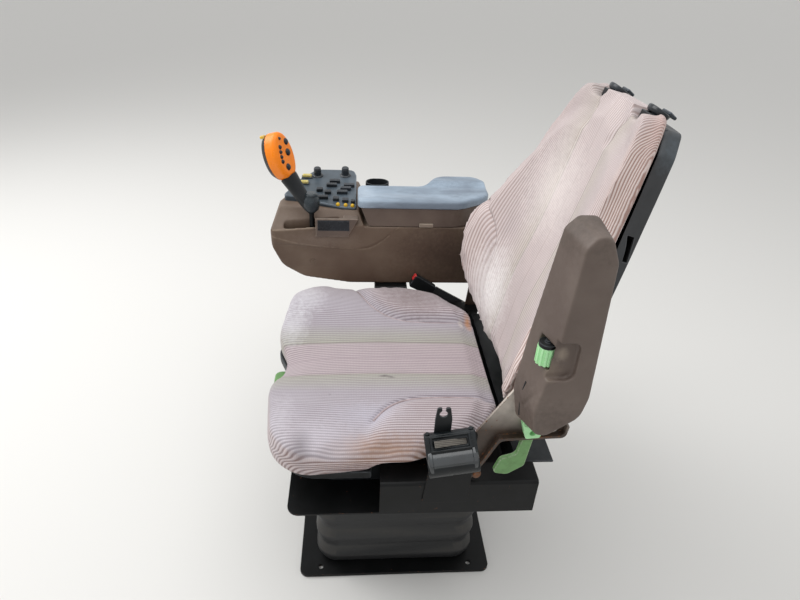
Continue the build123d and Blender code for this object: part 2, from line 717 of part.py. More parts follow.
# Console housing: side profile cut to the plan, sloping ledge with the lever slot, bin under the lid
with BuildPart() as console_body:
    with BuildSketch(Plane.YZ.offset(console_inner_x)):
        outline([(console_rear, console_bottom, 16), (-102, console_bottom, 120), (-214, 499, 60), (-264, 530, 40),
                 (-287, 580, 40), (-288, 616, 20), (-270, deck_seat_z, 6), (-84, deck_seat_z, 2), (-72, seam_z, 0),
                 (console_rear, seam_z, 3)])
    extrude(amount=-console_width)
    with BuildSketch(Plane.XY.offset(console_bottom - 5)):
        outline([(console_inner_x, -292, 14), (-381, -274, 60), (-476, -232, 40), (console_outer_x, -184, 50),
                 (console_outer_x, console_rear, 20), (console_inner_x, console_rear, 10)])
    extrude(amount=250, mode=Mode.INTERSECT)
    with BuildSketch(Plane.XZ.offset(300)):
        outline([(console_inner_x + 5, ledge_front_z - 5, 0), (console_inner_x + 5, ledge_cut_top, 0),
                 (deck_inner_x - deck_undercut, ledge_cut_top, 0),
                 (deck_inner_x - deck_undercut, ledge_front_z + 52, 0), (deck_inner_x, ledge_front_z + 38, 12)])
    extrude(amount=226, dir=(0, 1, sin(radians(ledge_rise))), mode=Mode.SUBTRACT)
    with BuildSketch(Plane.YZ.offset(console_inner_x)):
        outline([(-320, panel_low_z + 19, 0), (-214, panel_low_z + 12, 60), (-64, panel_low_z, 110),
                 (panel_rear, seam_z - 4, 0), (panel_rear, seam_z + 4, 0), (console_rear + 6, seam_z + 4, 0),
                 (console_rear + 6, console_bottom - 6, 0), (-320, console_bottom - 6, 0)])
    extrude(amount=-panel_step, mode=Mode.SUBTRACT)
    with BuildSketch(Plane.XZ.offset(-plate_rear)):
        outline([(console_inner_x - 4, plate_low - 6, 0), (console_inner_x + plate_proud, plate_low - 3, 2),
                 (console_inner_x + plate_proud, plate_low + plate_height + 3, 3),
                 (console_inner_x - 12, plate_low + plate_height + 18, 0)])
    extrude(amount=plate_rear - plate_front)
    with BuildSketch(Plane.XY.offset(lever_pocket_z)):
        with Locations((lever_x, slot_centre_y)):
            SlotOverall(slot_length, slot_width, rotation=90)
    extrude(amount=160, mode=Mode.SUBTRACT)
    with BuildSketch(Plane.XY.offset(seam_z - bin_depth)):
        with Locations(((console_inner_x + lid_outer_x) / 2, lid_front + bin_length / 2 + 18)):
            RectangleRounded(bin_width, bin_length, 10)
    extrude(amount=bin_depth, mode=Mode.SUBTRACT)
    for lug_x in (lid_outer_x + 20 + lid_barrel_length / 2 + 1, lid_outer_x + 20 - lid_barrel_length / 2 - 1 - lid_lug):
        with BuildSketch(Plane.YZ.offset(lug_x)):
            with Locations((lid_hinge_y, lid_hinge_z)):
                Circle(lid_barrel_d / 2)
            with Locations(((lid_hinge_y + console_rear) / 2 - 1, lid_hinge_z)):
                Rectangle(lid_hinge_y - console_rear + 2, lid_barrel_d)
            with Locations((lid_hinge_y, lid_hinge_z)):
                Circle(lid_pin_d / 2 + pin_clearance, mode=Mode.SUBTRACT)
        extrude(amount=lid_lug)
    add(lever_pin.part, mode=Mode.SUBTRACT)
console_body.part.label = "console_body"
export_step(console_body.part, "parts/console_body.step")

# Switch deck: sloping down towards the operator
deck_plane = Plane(origin=(deck_inner_x, 0, deck_inner_z),
                   x_dir=(cos(radians(deck_slope)), 0, -sin(radians(deck_slope))),
                   z_dir=(sin(radians(deck_slope)), 0, cos(radians(deck_slope))))
with BuildPart() as switch_deck:
    with BuildSketch(Plane.XY.offset(deck_seat_z)):
        outline([(-334, deck_rear, 4), (-336, -124, 10), (-352, -171, 20), (-378, -220, 16), (-386, deck_front + 2, 8),
                 (-468, -228, 20), (-516, -190, 30), (-516, deck_rear - 6, 16), (-490, deck_rear, 10)])
    extrude(amount=60)
    split(bisect_by=deck_plane, keep=Keep.BOTTOM)
    chamfer(switch_deck.faces().sort_by(Axis.Z)[-1].edges(), 2)
switch_deck.part.label = "switch_deck"
export_step(switch_deck.part, "parts/switch_deck.step")


def on_deck(x, y):
    """Place on the sloping deck above a plan position."""
    return ((x - deck_inner_x) / cos(radians(deck_slope)), y)


# Controls on the deck. Columns: x, y, size along x, size along y
rotary_knobs = ((-481, -187), (-485, -118))
rocker_switches = (
    (-449, -143, 10, 26), (-430, -150, 10, 26), (-430, -108, 10, 26), (-414, -116, 10, 26), (-397, -124, 10, 26),
    (-407, -178, 11, 16), (-396, -158, 11, 16), (-372, -170, 10, 27), (-366, -138, 12, 15), (-360, -116, 12, 15),
    (-355, -98, 10, 10))
rocker_rise = 8.0
yellow_buttons = ((-344, -133), (-341.5, -115), (-339.5, -99))
button_d = 9.0
button_rise = 6.0
paddle_switches = ((-440, -218), (-472, -212))
with BuildPart() as deck_knobs:
    with BuildSketch(deck_plane):
        with Locations(*[on_deck(x, y) for x, y in rotary_knobs]):
            Circle(14)
    extrude(amount=4)
    with BuildSketch(deck_plane.offset(4)):
        with Locations(*[on_deck(x, y) for x, y in rotary_knobs]):
            Circle(9.5)
    extrude(amount=18)
deck_knobs.part.label = "deck_knobs"
export_step(deck_knobs.part, "parts/deck_knobs.step")

with BuildPart() as deck_rockers:
    with BuildSketch(deck_plane):
        for x, y, size_x, size_y in rocker_switches:
            with Locations(on_deck(x, y)):
                RectangleRounded(size_x, size_y, 3)
    extrude(amount=rocker_rise)
deck_rockers.part.label = "deck_rockers"
export_step(deck_rockers.part, "parts/deck_rockers.step")

with BuildPart() as deck_buttons:
    with BuildSketch(deck_plane):
        with Locations(*[on_deck(x, y) for x, y in yellow_buttons]):
            Circle(button_d / 2)
    extrude(amount=button_rise)
deck_buttons.part.label = "deck_buttons"
export_step(deck_buttons.part, "parts/deck_buttons.step")

with BuildPart() as deck_paddles:
    with BuildSketch(deck_plane):
        for x, y in paddle_switches:
            with Locations(on_deck(x, y)):
                RectangleRounded(26, 12, 4)
    extrude(amount=14)
deck_paddles.part.label = "deck_paddles"
export_step(deck_paddles.part, "parts/deck_paddles.step")

# Blank plate on the housing's inner side, and the oval cup behind the deck
with BuildPart() as console_plate:
    with BuildSketch(Plane.YZ.offset(console_inner_x + plate_proud)):
        with Locations(((plate_front + plate_rear) / 2 - 3, plate_low + plate_height / 2)):
            RectangleRounded(plate_rear - plate_front - 12, plate_height, 2)
    extrude(amount=1.5)
console_plate.part.label = "console_plate"
export_step(console_plate.part, "parts/console_plate.step")

cup_x = -460.0
cup_y = -38.0
with BuildPart() as console_cup:
    with BuildSketch(Plane.XY.offset(seam_z)):
        with Locations((cup_x, cup_y)):
            SlotOverall(cup_length, cup_width, rotation=90)
    extrude(amount=cup_top - seam_z)
    with BuildSketch(Plane.XY.offset(seam_z + cup_wall)):
        with Locations((cup_x, cup_y)):
            SlotOverall(cup_length - 2 * cup_wall, cup_width - 2 * cup_wall, rotation=90)
    extrude(amount=cup_top - seam_z, mode=Mode.SUBTRACT)
console_cup.part.label = "console_cup"
export_step(console_cup.part, "parts/console_cup.step")

# Lid of the console: a brown box with a grey arm pad, hinged at the rear
lid_bottom = seam_z + lid_gap
lid_plan = [
    (console_inner_x - 2, lid_front - 22, 12), (lid_outer_x, lid_front - 22, 12), (lid_outer_x, 76, 40),
    (lid_wide_x, 112, 40), (lid_wide_x, lid_rear - 20, 30), (lid_wide_x + 30, lid_rear, 20),
    (console_inner_x - 50, lid_rear, 40), (console_inner_x - 2, 150, 60)]
barrel_x = lid_outer_x + 20 - lid_barrel_length / 2
with BuildPart() as lid_box:
    with BuildSketch(Plane.XY.offset(lid_bottom)):
        outline(lid_plan)
    extrude(amount=lid_box_top - lid_bottom)
    with BuildSketch(Plane.YZ.offset(console_inner_x)):
        outline([(lid_front, lid_bottom, 0), (lid_front - 18, lid_box_top, 0), (lid_rear, lid_box_top, 0),
                 (lid_rear, lid_bottom, 0)])
    extrude(amount=-console_width, mode=Mode.INTERSECT)
    with BuildSketch(Plane.YZ.offset(console_inner_x - 2)):
        with Locations((catch_y, lid_bottom + 5)):
            RectangleRounded(catch_length, 9, 2)
    extrude(amount=catch_proud)
    with BuildSketch(Plane.YZ.offset(barrel_x)):
        with Locations((lid_hinge_y, lid_hinge_z)):
            Circle(lid_barrel_d / 2)
        with Locations((lid_hinge_y, (lid_hinge_z + lid_bottom) / 2)):
            Rectangle(lid_barrel_d, lid_bottom - lid_hinge_z)
        with Locations((lid_hinge_y, lid_hinge_z)):
            Circle(lid_pin_d / 2 + pin_clearance, mode=Mode.SUBTRACT)
    extrude(amount=lid_barrel_length)
lid_box.part.label = "lid_box"
export_step(lid_box.part, "parts/lid_box.step")

with BuildPart() as arm_pad:
    with BuildSketch(Plane.XY.offset(lid_box_top)):
        outline(lid_plan)
        offset(amount=pad_overhang)
    extrude(amount=pad_thickness)
    fillet(arm_pad.edges().group_by(Axis.Z)[-1], 7)
arm_pad.part.label = "arm_pad"
export_step(arm_pad.part, "parts/arm_pad.step")

with BuildPart() as lid_pin:
    with BuildSketch(Plane.YZ.offset(barrel_x - lid_lug - 1)):
        with Locations((lid_hinge_y, lid_hinge_z)):
            Circle(lid_pin_d / 2)
    extrude(amount=lid_barrel_length + 2 * lid_lug + 2)
lid_pin.part.label = "lid_pin"
export_step(lid_pin.part, "parts/lid_pin.step")

# Drive lever: steel stem with its eye, dome and black stalk
with BuildPart() as lever_stem:
    with BuildSketch(Plane.YZ.offset(lever_x - lever_eye_width / 2)):
        with Locations((slot_centre_y, lever_pivot_z)):
            Circle(lever_eye_d / 2)
            Circle(lever_pin_d / 2 + pin_clearance, mode=Mode.SUBTRACT)
    extrude(amount=lever_eye_width)
    with BuildSketch(Plane.XY.offset(lever_pivot_z + lever_eye_d / 2 - 2)):
        with Locations((lever_x, slot_centre_y)):
            Circle(lever_stem_d / 2)
    extrude(amount=lever_stem_top - lever_pivot_z - lever_eye_d / 2 + 2)
lever_stem.part.label = "lever_stem"
export_step(lever_stem.part, "parts/lever_stem.step")

with BuildPart() as lever_dome:
    with BuildSketch(Plane(origin=(lever_x, slot_centre_y, lever_dome_foot), x_dir=(0, 1, 0), z_dir=(1, 0, 0))):
        outline([(0, 0, 0), (9, 0, 2), (lever_dome_r, 14, 8), (lever_dome_r, 32, 8), (8, 44, 6), (0, 46, 0)])
    revolve(axis=Axis((lever_x, slot_centre_y, 0), (0, 0, 1)), revolution_arc=360)
    add(lever_stem.part, mode=Mode.SUBTRACT)
lever_dome.part.label = "lever_dome"
export_step(lever_dome.part, "parts/lever_dome.step")

head_centre = Vector(head_x, head_y, head_z)
stalk_foot = Vector(lever_x, slot_centre_y - 6, lever_stem_top)
stalk_plane = Plane(origin=stalk_foot, z_dir=head_centre - stalk_foot)
stalk_length = (head_centre - stalk_foot).length
with BuildPart() as lever_stalk:
    with BuildSketch(stalk_plane):
        Circle(13)
    with BuildSketch(stalk_plane.offset(stalk_length * 0.62)):
        Circle(20)
    loft()
    add(lever_dome.part, mode=Mode.SUBTRACT)
lever_stalk.part.label = "lever_stalk"
export_step(lever_stalk.part, "parts/lever_stalk.step")

face_turn = radians(63)
face_tilt = radians(18)
head_normal = Vector(cos(face_turn) * cos(face_tilt), sin(face_turn) * cos(face_tilt), sin(face_tilt))
head_plane = Plane(origin=head_centre, x_dir=(-sin(face_turn), cos(face_turn), 0), z_dir=head_normal)
head_width = 66.0
head_height = 104.0
head_thickness = 30.0
head_edge = 10.0
with BuildPart() as lever_head:
    with BuildSketch(head_plane):
        Ellipse(head_width / 2, head_height / 2)
    extrude(amount=head_thickness)
    fillet(lever_head.faces().sort_by(SortBy.AREA)[-2:].edges().filter_by(GeomType.ELLIPSE).sort_by(
        Axis(head_centre, head_normal))[-1], head_edge)
    add(lever_stalk.part, mode=Mode.SUBTRACT)
lever_head.part.label = "lever_head"
export_step(lever_head.part, "parts/lever_head.step")

with BuildPart() as lever_head_back:
    with BuildSketch(head_plane):
        Ellipse(head_width / 2, head_height / 2)
    with BuildSketch(head_plane.offset(-14)):
        Ellipse(head_width / 2 - 8, head_height / 2 - 8)
    loft()
    add(lever_stalk.part, mode=Mode.SUBTRACT)
lever_head_back.part.label = "lever_head_back"
export_step(lever_head_back.part, "parts/lever_head_back.step")

head_buttons = ((0, 26, 6), (-10, 8, 5), (10, 8, 6), (-10, -10, 5), (10, -12, 6), (0, -30, 6))
with BuildPart() as lever_buttons:
    with BuildSketch(head_plane.offset(head_thickness)):
        for u, v, radius in head_buttons:
            with Locations((u, v)):
                Circle(radius)
    extrude(amount=3)
lever_buttons.part.label = "lever_buttons"
export_step(lever_buttons.part, "parts/lever_buttons.step")
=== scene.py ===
"""Looks of a harvester operator's seat with its control console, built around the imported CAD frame.

Metres, in the frame of the CAD part: the seat faces -Y, +X is the operator's left and +Z is up.
"""
import logging
import math
from collections.abc import Iterator, Sequence
from contextlib import contextmanager
from dataclasses import dataclass
from enum import Enum
from typing import Protocol

import bmesh
import bpy
import numpy as np
from mathutils import Matrix, Vector
from mathutils.bvhtree import BVHTree


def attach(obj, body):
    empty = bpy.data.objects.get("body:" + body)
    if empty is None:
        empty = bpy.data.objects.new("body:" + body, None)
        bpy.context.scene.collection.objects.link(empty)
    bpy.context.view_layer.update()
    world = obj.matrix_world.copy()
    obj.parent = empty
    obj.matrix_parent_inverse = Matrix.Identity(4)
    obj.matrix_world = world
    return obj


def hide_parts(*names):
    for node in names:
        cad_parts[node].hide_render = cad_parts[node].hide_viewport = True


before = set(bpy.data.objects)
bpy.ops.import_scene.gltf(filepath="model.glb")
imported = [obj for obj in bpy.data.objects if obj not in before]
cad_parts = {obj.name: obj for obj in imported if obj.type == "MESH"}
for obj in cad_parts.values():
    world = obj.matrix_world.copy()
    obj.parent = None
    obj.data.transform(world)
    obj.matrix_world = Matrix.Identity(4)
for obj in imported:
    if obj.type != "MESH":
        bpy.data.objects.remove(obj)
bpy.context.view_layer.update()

LOG = logging.getLogger("operator_seat")
MM = 0.001
Point = tuple[float, float, float]
Plan = tuple[float, float]
Piece = bpy.types.Object
Material = bpy.types.Material
Tree = bpy.types.NodeTree
Socket = bpy.types.NodeSocket
WEIGHT_STEPS = 20
MERGE = 0.00001
PHOTO_WIDTH = 800


class Slot(Enum):
    """Material slots of the part's record."""

    FABRIC = "seat_fabric"
    VINYL = "arm_vinyl"
    BROWN = "brown_plastic"
    DECK = "deck_plastic"
    BLACK = "black_plastic"
    ORANGE = "orange_plastic"
    YELLOW = "yellow_plastic"
    CREAM = "cream_plastic"
    GREEN = "green_plastic"
    RED = "red_plastic"
    SHELL = "shell_plastic"
    BLACK_STEEL = "black_steel"
    BROWN_STEEL = "brown_steel"
    BRIGHT_STEEL = "bright_steel"
    RUBBER = "boot_rubber"
    WEB = "belt_web"
    BAR = "belt_bar"


# ---- Small tools for modelling ----


def deselect_all() -> None:
    """Leaves nothing selected in object mode."""
    for thing in bpy.context.selected_objects:
        thing.select_set(False)


def activate(piece: Piece) -> None:
    """Makes a piece the only selected one and the active one."""
    deselect_all()
    piece.select_set(True)
    bpy.context.view_layer.objects.active = piece


@contextmanager
def edit_mode(piece: Piece) -> Iterator[None]:
    """Opens a piece in edit mode for the operators inside the block."""
    activate(piece)
    bpy.ops.object.mode_set(mode="EDIT")
    try:
        yield
    finally:
        bpy.ops.object.mode_set(mode="OBJECT")


def apply_modifier(piece: Piece, kind: str, **settings: object) -> None:
    """Adds a modifier to a piece with its settings and applies it.

    Args:
        piece: The piece.
        kind: Blender's name of the modifier type.
        settings: The modifier's own settings.
    """
    activate(piece)
    modifier = piece.modifiers.new(kind.title(), kind)
    for name, value in settings.items():
        setattr(modifier, name, value)
    bpy.ops.object.modifier_apply(modifier=modifier.name)


def new_piece(name: str, data: bpy.types.ID) -> Piece:
    """Puts a new object with its data into the scene."""
    piece = bpy.data.objects.new(name, data)
    bpy.context.scene.collection.objects.link(piece)
    return piece


def drop_uv_layers(piece: Piece) -> None:
    """Removes a piece's UV layers, which no material here reads."""
    for layer in list(piece.data.uv_layers):
        piece.data.uv_layers.remove(layer)


def settle(piece: Piece) -> None:
    """Puts a new piece's place and turn into its mesh, with its object at the origin."""
    activate(piece)
    bpy.ops.object.transform_apply(location=True, rotation=True, scale=True)


def smooth(piece: Piece, degrees: float = 38.0) -> None:
    """Shades a piece smooth except at edges sharper than an angle."""
    activate(piece)
    bpy.ops.object.shade_smooth_by_angle(angle=math.radians(degrees))


def finish_piece(
    piece: Piece,
    body: str,
    slot: Slot,
    material: Material,
    *nodes: str,
) -> Piece:
    """Gives a finished piece its material and body, and hides the CAD nodes that it stands for.

    Args:
        piece: The finished piece, with its place in its mesh.
        body: The CAD body that it rides on.
        slot: The record's material slot; not used.
        material: Its material.
        nodes: The CAD nodes that it replaces.

    Returns:
        The piece.
    """
    piece.data.materials.clear()
    piece.data.materials.append(material)
    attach(piece, body)
    if nodes:
        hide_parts(*nodes)
    LOG.info("%s rides on %s with %d faces", piece.name, body, len(piece.data.polygons))
    return piece


def copied_node(node: str, name: str) -> Piece:
    """Copies a CAD node's mesh to a new piece with its triangles merged into faces.

    Args:
        node: The CAD node.
        name: The new piece's name.

    Returns:
        The new piece.
    """
    piece = new_piece(name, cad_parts[node].data.copy())
    piece.data.name = name
    with edit_mode(piece):
        bpy.ops.mesh.customdata_custom_splitnormals_clear()
        bpy.ops.mesh.select_all(action="SELECT")
        bpy.ops.mesh.remove_doubles(threshold=MERGE)
        bpy.ops.mesh.dissolve_limited(angle_limit=math.radians(1.0))
    drop_uv_layers(piece)
    return piece


def soften_edges(piece: Piece, width: float, segments: int = 2, degrees: float = 32.0) -> None:
    """Rounds a piece's sharp edges and marks the rounding in the face attribute "edge", for wear.

    Args:
        piece: The piece.
        width: Width of the rounding.
        segments: Faces across the rounding.
        degrees: Edges sharper than this are rounded.
    """
    piece.data.materials.clear()
    for _ in range(2):
        piece.data.materials.append(None)
    for face in piece.data.polygons:
        face.material_index = 0
    apply_modifier(piece, "BEVEL", width=width, segments=segments, limit_method="ANGLE",
                   angle_limit=math.radians(degrees), use_clamp_overlap=False, material=1,
                   miter_outer="MITER_ARC")
    edge = piece.data.attributes.new("edge", "FLOAT", "FACE")
    edge.data.foreach_set("value", [float(face.material_index) for face in piece.data.polygons])
    for face in piece.data.polygons:
        face.material_index = 0
    smooth(piece)
    apply_modifier(piece, "WEIGHTED_NORMAL", keep_sharp=True)


def place_along(piece: Piece, place: Sequence[float], axis: Sequence[float]) -> None:
    """Turns a piece's own Z to an axis, moves it to a place, and puts both into its mesh."""
    turn = Vector(axis).to_track_quat("Z", "Y").to_matrix().to_4x4()
    piece.matrix_world = Matrix.Translation(Vector(place)) @ turn
    settle(piece)


def lathe(name: str, profile: Sequence[Plan], place: Sequence[float], axis: Sequence[float] = (0, 0, 1),
          steps: int = 32) -> Piece:
    """Turns a profile about an axis.

    Args:
        name: The piece's name.
        profile: Rows of radius and height, in millimetres.
        place: Where the profile's zero height goes.
        axis: The axis that it is turned about.
        steps: Faces around.

    Returns:
        The turned piece.
    """
    mesh = bpy.data.meshes.new(name)
    rows = [(radius * MM, 0.0, height * MM) for radius, height in profile]
    mesh.from_pydata(rows, [(i, i + 1) for i in range(len(rows) - 1)], [])
    piece = new_piece(name, mesh)
    apply_modifier(piece, "SCREW", angle=math.tau, steps=steps, render_steps=steps, use_merge_vertices=True,
                   merge_threshold=0.000001)
    place_along(piece, place, axis)
    with edit_mode(piece):
        bpy.ops.mesh.select_all(action="SELECT")
        bpy.ops.mesh.remove_doubles(threshold=0.000002)
        bpy.ops.mesh.normals_make_consistent(inside=False)
    smooth(piece)
    return piece


def block(name: str, size: Sequence[float], place: Sequence[float], axis: Sequence[float] = (0, 0, 1),
          edge: float = 1.0, segments: int = 2) -> Piece:
    """A block with rounded, worn edges.

    Args:
        name: The piece's name.
        size: Its sizes in millimetres, the last one along the axis.
        place: Its centre.
        axis: Where its own Z points.
        edge: Width of its edges' rounding, in millimetres.
        segments: Faces across the rounding.

    Returns:
        The block.
    """
    deselect_all()
    bpy.ops.mesh.primitive_cube_add(size=1.0)
    piece = bpy.context.active_object
    piece.name = piece.data.name = name
    piece.scale = [length * MM for length in size]
    settle(piece)
    drop_uv_layers(piece)
    place_along(piece, place, axis)
    soften_edges(piece, edge * MM, segments)
    return piece


def joined(pieces: Sequence[Piece], name: str) -> Piece:
    """Joins pieces of one material into one piece."""
    deselect_all()
    for piece in pieces:
        piece.select_set(True)
    bpy.context.view_layer.objects.active = pieces[0]
    bpy.ops.object.join()
    pieces[0].name = pieces[0].data.name = name
    return pieces[0]


def islands(node: str) -> list[np.ndarray]:
    """The vertex places of each separate solid in a CAD node, in order along Y."""
    mesh = bmesh.new()
    mesh.from_mesh(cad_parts[node].data)
    bmesh.ops.remove_doubles(mesh, verts=mesh.verts, dist=MERGE)
    waiting, groups = set(mesh.verts), []
    while waiting:
        reached = [waiting.pop()]
        for vertex in reached:
            for edge in vertex.link_edges:
                other = edge.other_vert(vertex)
                if other in waiting:
                    waiting.remove(other)
                    reached.append(other)
        groups.append(np.array([vertex.co[:] for vertex in reached]))
    mesh.free()
    return sorted(groups, key=lambda group: float(group[:, 1].mean()))


def rounded_path(corners: Sequence[Plan], rounds: int = 3) -> np.ndarray:
    """Cuts the corners of an open path again and again until it runs smoothly.

    Args:
        corners: The path's corners.
        rounds: How many times the corners are cut.

    Returns:
        The points of the smooth path.
    """
    points = np.array(corners, float)
    for _ in range(rounds):
        quarter = points[:-1] * 0.75 + points[1:] * 0.25
        three = points[:-1] * 0.25 + points[1:] * 0.75
        inner = np.stack([quarter, three], axis=1).reshape(-1, points.shape[1])
        points = np.vstack([points[:1], inner[1:-1], points[-1:]])
    return points


def weigh(piece: Piece, name: str, weights: np.ndarray) -> None:
    """Gives a piece a vertex group with one weight per vertex."""
    group = piece.vertex_groups.new(name=name)
    steps = np.round(np.clip(weights, 0, 1) * WEIGHT_STEPS).astype(int)
    for step in range(1, WEIGHT_STEPS + 1):
        group.add(np.nonzero(steps == step)[0].tolist(), step / WEIGHT_STEPS, "REPLACE")


def moulded_copy(node: str, name: str, voxel: float, rounds: int = 3) -> Piece:
    """Copies a CAD node as one evenly rounded skin, its outer roundings marked in the attribute "edge".

    Args:
        node: The CAD node.
        name: The new piece's name.
        voxel: Size of the skin's faces.
        rounds: How often the skin is smoothed.

    Returns:
        The skin.
    """
    piece = copied_node(node, name)
    apply_modifier(piece, "REMESH", mode="VOXEL", voxel_size=voxel)
    before, _ = vertex_arrays(piece)
    apply_modifier(piece, "SMOOTH", factor=0.5, iterations=rounds)
    after, normals = vertex_arrays(piece)
    sunk = np.einsum("ij,ij->i", before - after, normals)
    set_attribute(piece, "edge", ease(sunk, 0.10 * voxel, 0.4 * voxel))
    smooth(piece, 50)
    return piece


def side_distance(places: np.ndarray, path: np.ndarray) -> np.ndarray:
    """Distance of each place from a path, positive on the path's left hand.

    Args:
        places: Places in the plane, a row each.
        path: The path's points.

    Returns:
        The signed distances.
    """
    best = np.full(len(places), np.inf)
    signed = np.zeros(len(places))
    for start, end in zip(path[:-1], path[1:]):
        run = end - start
        offset = places - start
        share = np.clip(offset @ run / (run @ run), 0, 1)
        gap = np.linalg.norm(offset - share[:, None] * run, axis=1)
        side = np.sign(run[0] * offset[:, 1] - run[1] * offset[:, 0])
        nearer = gap < best
        best[nearer] = gap[nearer]
        signed[nearer] = (gap * side)[nearer]
    return signed


def vertex_arrays(piece: Piece) -> tuple[np.ndarray, np.ndarray]:
    """The places and normals of a piece's vertices."""
    count = len(piece.data.vertices)
    places, normals = np.zeros(count * 3), np.zeros(count * 3)
    piece.data.vertices.foreach_get("co", places)
    piece.data.vertex_normals.foreach_get("vector", normals)
    return places.reshape(-1, 3), normals.reshape(-1, 3)


def set_places(piece: Piece, places: np.ndarray) -> None:
    """Moves a piece's vertices to new places."""
    piece.data.vertices.foreach_set("co", places.ravel())
    piece.data.update()


def set_attribute(piece: Piece, name: str, values: np.ndarray) -> None:
    """Stores one number per vertex on a piece, for its material to read."""
    attribute = piece.data.attributes.new(name, "FLOAT", "POINT")
    attribute.data.foreach_set("value", values.astype(np.float32))


def paint_highlight_line(piece: Piece, wear: np.ndarray) -> None:
    """Raises a skin's attribute "edge" to one value per vertex, where that is greater; the raised line takes the worn
    colour as a painted highlight.
    """
    line = piece.data.attributes["edge"]
    values = np.zeros(len(wear))
    line.data.foreach_get("value", values)
    line.data.foreach_set("value", np.maximum(values, wear).astype(np.float32))


def ease(values: np.ndarray, low: float, high: float) -> np.ndarray:
    """A smooth step from 0 at low to 1 at high."""
    share = np.clip((values - low) / (high - low), 0, 1)
    return share * share * (3 - 2 * share)


def bell(values: np.ndarray, reach: float, power: int = 2) -> np.ndarray:
    """A bell curve: 1 at zero, and 1 / e at the reach on both sides."""
    return np.exp(-(values / reach) ** power)


def cut_level(piece: Piece, height: float, keep_above: bool) -> None:
    """Cuts a piece off at a height, keeps what is above or below, and closes the cut."""
    with edit_mode(piece):
        bpy.ops.mesh.select_all(action="SELECT")
        bpy.ops.mesh.bisect(plane_co=(0, 0, height), plane_no=(0, 0, 1), use_fill=True, clear_inner=keep_above,
                            clear_outer=not keep_above)


# ---- Materials ----


def linear(code: str) -> tuple[float, float, float, float]:
    """Turns an sRGB hex colour into the linear colour that a shader takes."""
    shares = [int(code[i:i + 2], 16) / 255 for i in (1, 3, 5)]
    return (*(s / 12.92 if s <= 0.04045 else ((s + 0.055) / 1.055) ** 2.4 for s in shares), 1.0)


def feed(tree: Tree, node: bpy.types.Node, inputs: dict) -> None:
    """Gives a node's inputs, by name or number, their values or the output sockets that they are linked from."""
    for key, value in inputs.items():
        if isinstance(value, Socket):
            tree.links.new(value, node.inputs[key])
        else:
            node.inputs[key].default_value = value


def add_node(tree: Tree, kind: str, inputs: dict | None = None, **settings: object) -> bpy.types.Node:
    """Adds a shader node with its settings and its inputs.

    Args:
        tree: The material's node tree.
        kind: The node's type, without its ShaderNode start.
        inputs: What its inputs take, as feed() reads it.
        settings: The node's own settings.

    Returns:
        The node.
    """
    node = tree.nodes.new("ShaderNode" + kind)
    for name, value in settings.items():
        setattr(node, name, value)
    feed(tree, node, inputs or {})
    return node


def attribute(tree: Tree, name: str) -> Socket:
    """A piece's own attribute, as an output."""
    return add_node(tree, "Attribute", attribute_name=name).outputs["Fac"]


def object_place(tree: Tree) -> Socket:
    """The shaded point's place in the piece's own space, as an output."""
    return add_node(tree, "TexCoord").outputs["Object"]


def height_of(tree: Tree, vector: Socket) -> Socket:
    """The upward part of a vector output."""
    return add_node(tree, "SeparateXYZ", {0: vector}).outputs["Z"]


def facing_up(tree: Tree) -> Socket:
    """How far the surface faces up, as an output."""
    return height_of(tree, add_node(tree, "NewGeometry").outputs["Normal"])


def ramp(tree: Tree, factor: Socket, stops: Sequence[tuple[float, str]]) -> Socket:
    """A colour ramp from rows of place and hex colour, and its colour output."""
    node = add_node(tree, "ValToRGB", {"Fac": factor})
    while len(node.color_ramp.elements) < len(stops):
        node.color_ramp.elements.new(0.5)
    for element, (place, code) in zip(node.color_ramp.elements, stops):
        element.position = place
        element.color = linear(code)
    return node.outputs["Color"]


def spread(tree: Tree, value: Socket, low: float, high: float,
           to_low: float = 0.0, to_high: float = 1.0) -> Socket:
    """Spreads a value's range low to high over another range, held at its ends."""
    return add_node(tree, "MapRange", {"Value": value, "From Min": low, "From Max": high,
                                       "To Min": to_low, "To Max": to_high}).outputs["Result"]


def mixed(tree: Tree, factor: object, first: object, second: object) -> Socket:
    """Mixes two colours, each a hex code or an output, and gives the result's output."""
    colours = [linear(c) if isinstance(c, str) else c for c in (first, second)]
    node = add_node(tree, "Mix", {0: factor, 6: colours[0], 7: colours[1]}, data_type="RGBA")
    return node.outputs[2]


def reckon(tree: Tree, operation: str, first: object, second: object = 0.0,
           third: object = 0.0) -> Socket:
    """One arithmetic step on numbers or outputs, and its output."""
    return add_node(tree, "Math", {0: first, 1: second, 2: third}, operation=operation).outputs[0]


def product(tree: Tree, first: object, second: object) -> Socket:
    """The product of two numbers or outputs."""
    return reckon(tree, "MULTIPLY", first, second)


def wave(tree: Tree, value: Socket, pitch: float, kind: str) -> Socket:
    """A SINE or COSINE wave between 0 and 1 that repeats with a pitch of the value."""
    return reckon(tree, "MULTIPLY_ADD", reckon(tree, kind, product(tree, value, math.tau / pitch)), 0.5, 0.5)


def noise(tree: Tree, size: float, detail: float = 2.0, stretch: Point = (1, 1, 1),
          roughness: float = 0.5) -> Socket:
    """Object-space noise whose features are about one size, in metres, and its value output."""
    place = object_place(tree)
    if stretch != (1, 1, 1):
        place = add_node(tree, "Mapping", {"Vector": place, "Scale": stretch}).outputs["Vector"]
    return add_node(tree, "TexNoise", {"Vector": place, "Scale": 1 / size, "Detail": detail,
                                       "Roughness": roughness}).outputs["Fac"]


def bumped(tree: Tree, height: Socket, depth: float, strength: float = 1.0,
           before: Socket | None = None) -> Socket:
    """A bump of a real depth in metres on top of the bump before it, and its normal output."""
    inputs = {"Height": height, "Distance": depth, "Strength": strength}
    if before is not None:
        inputs["Normal"] = before
    return add_node(tree, "Bump", inputs).outputs["Normal"]


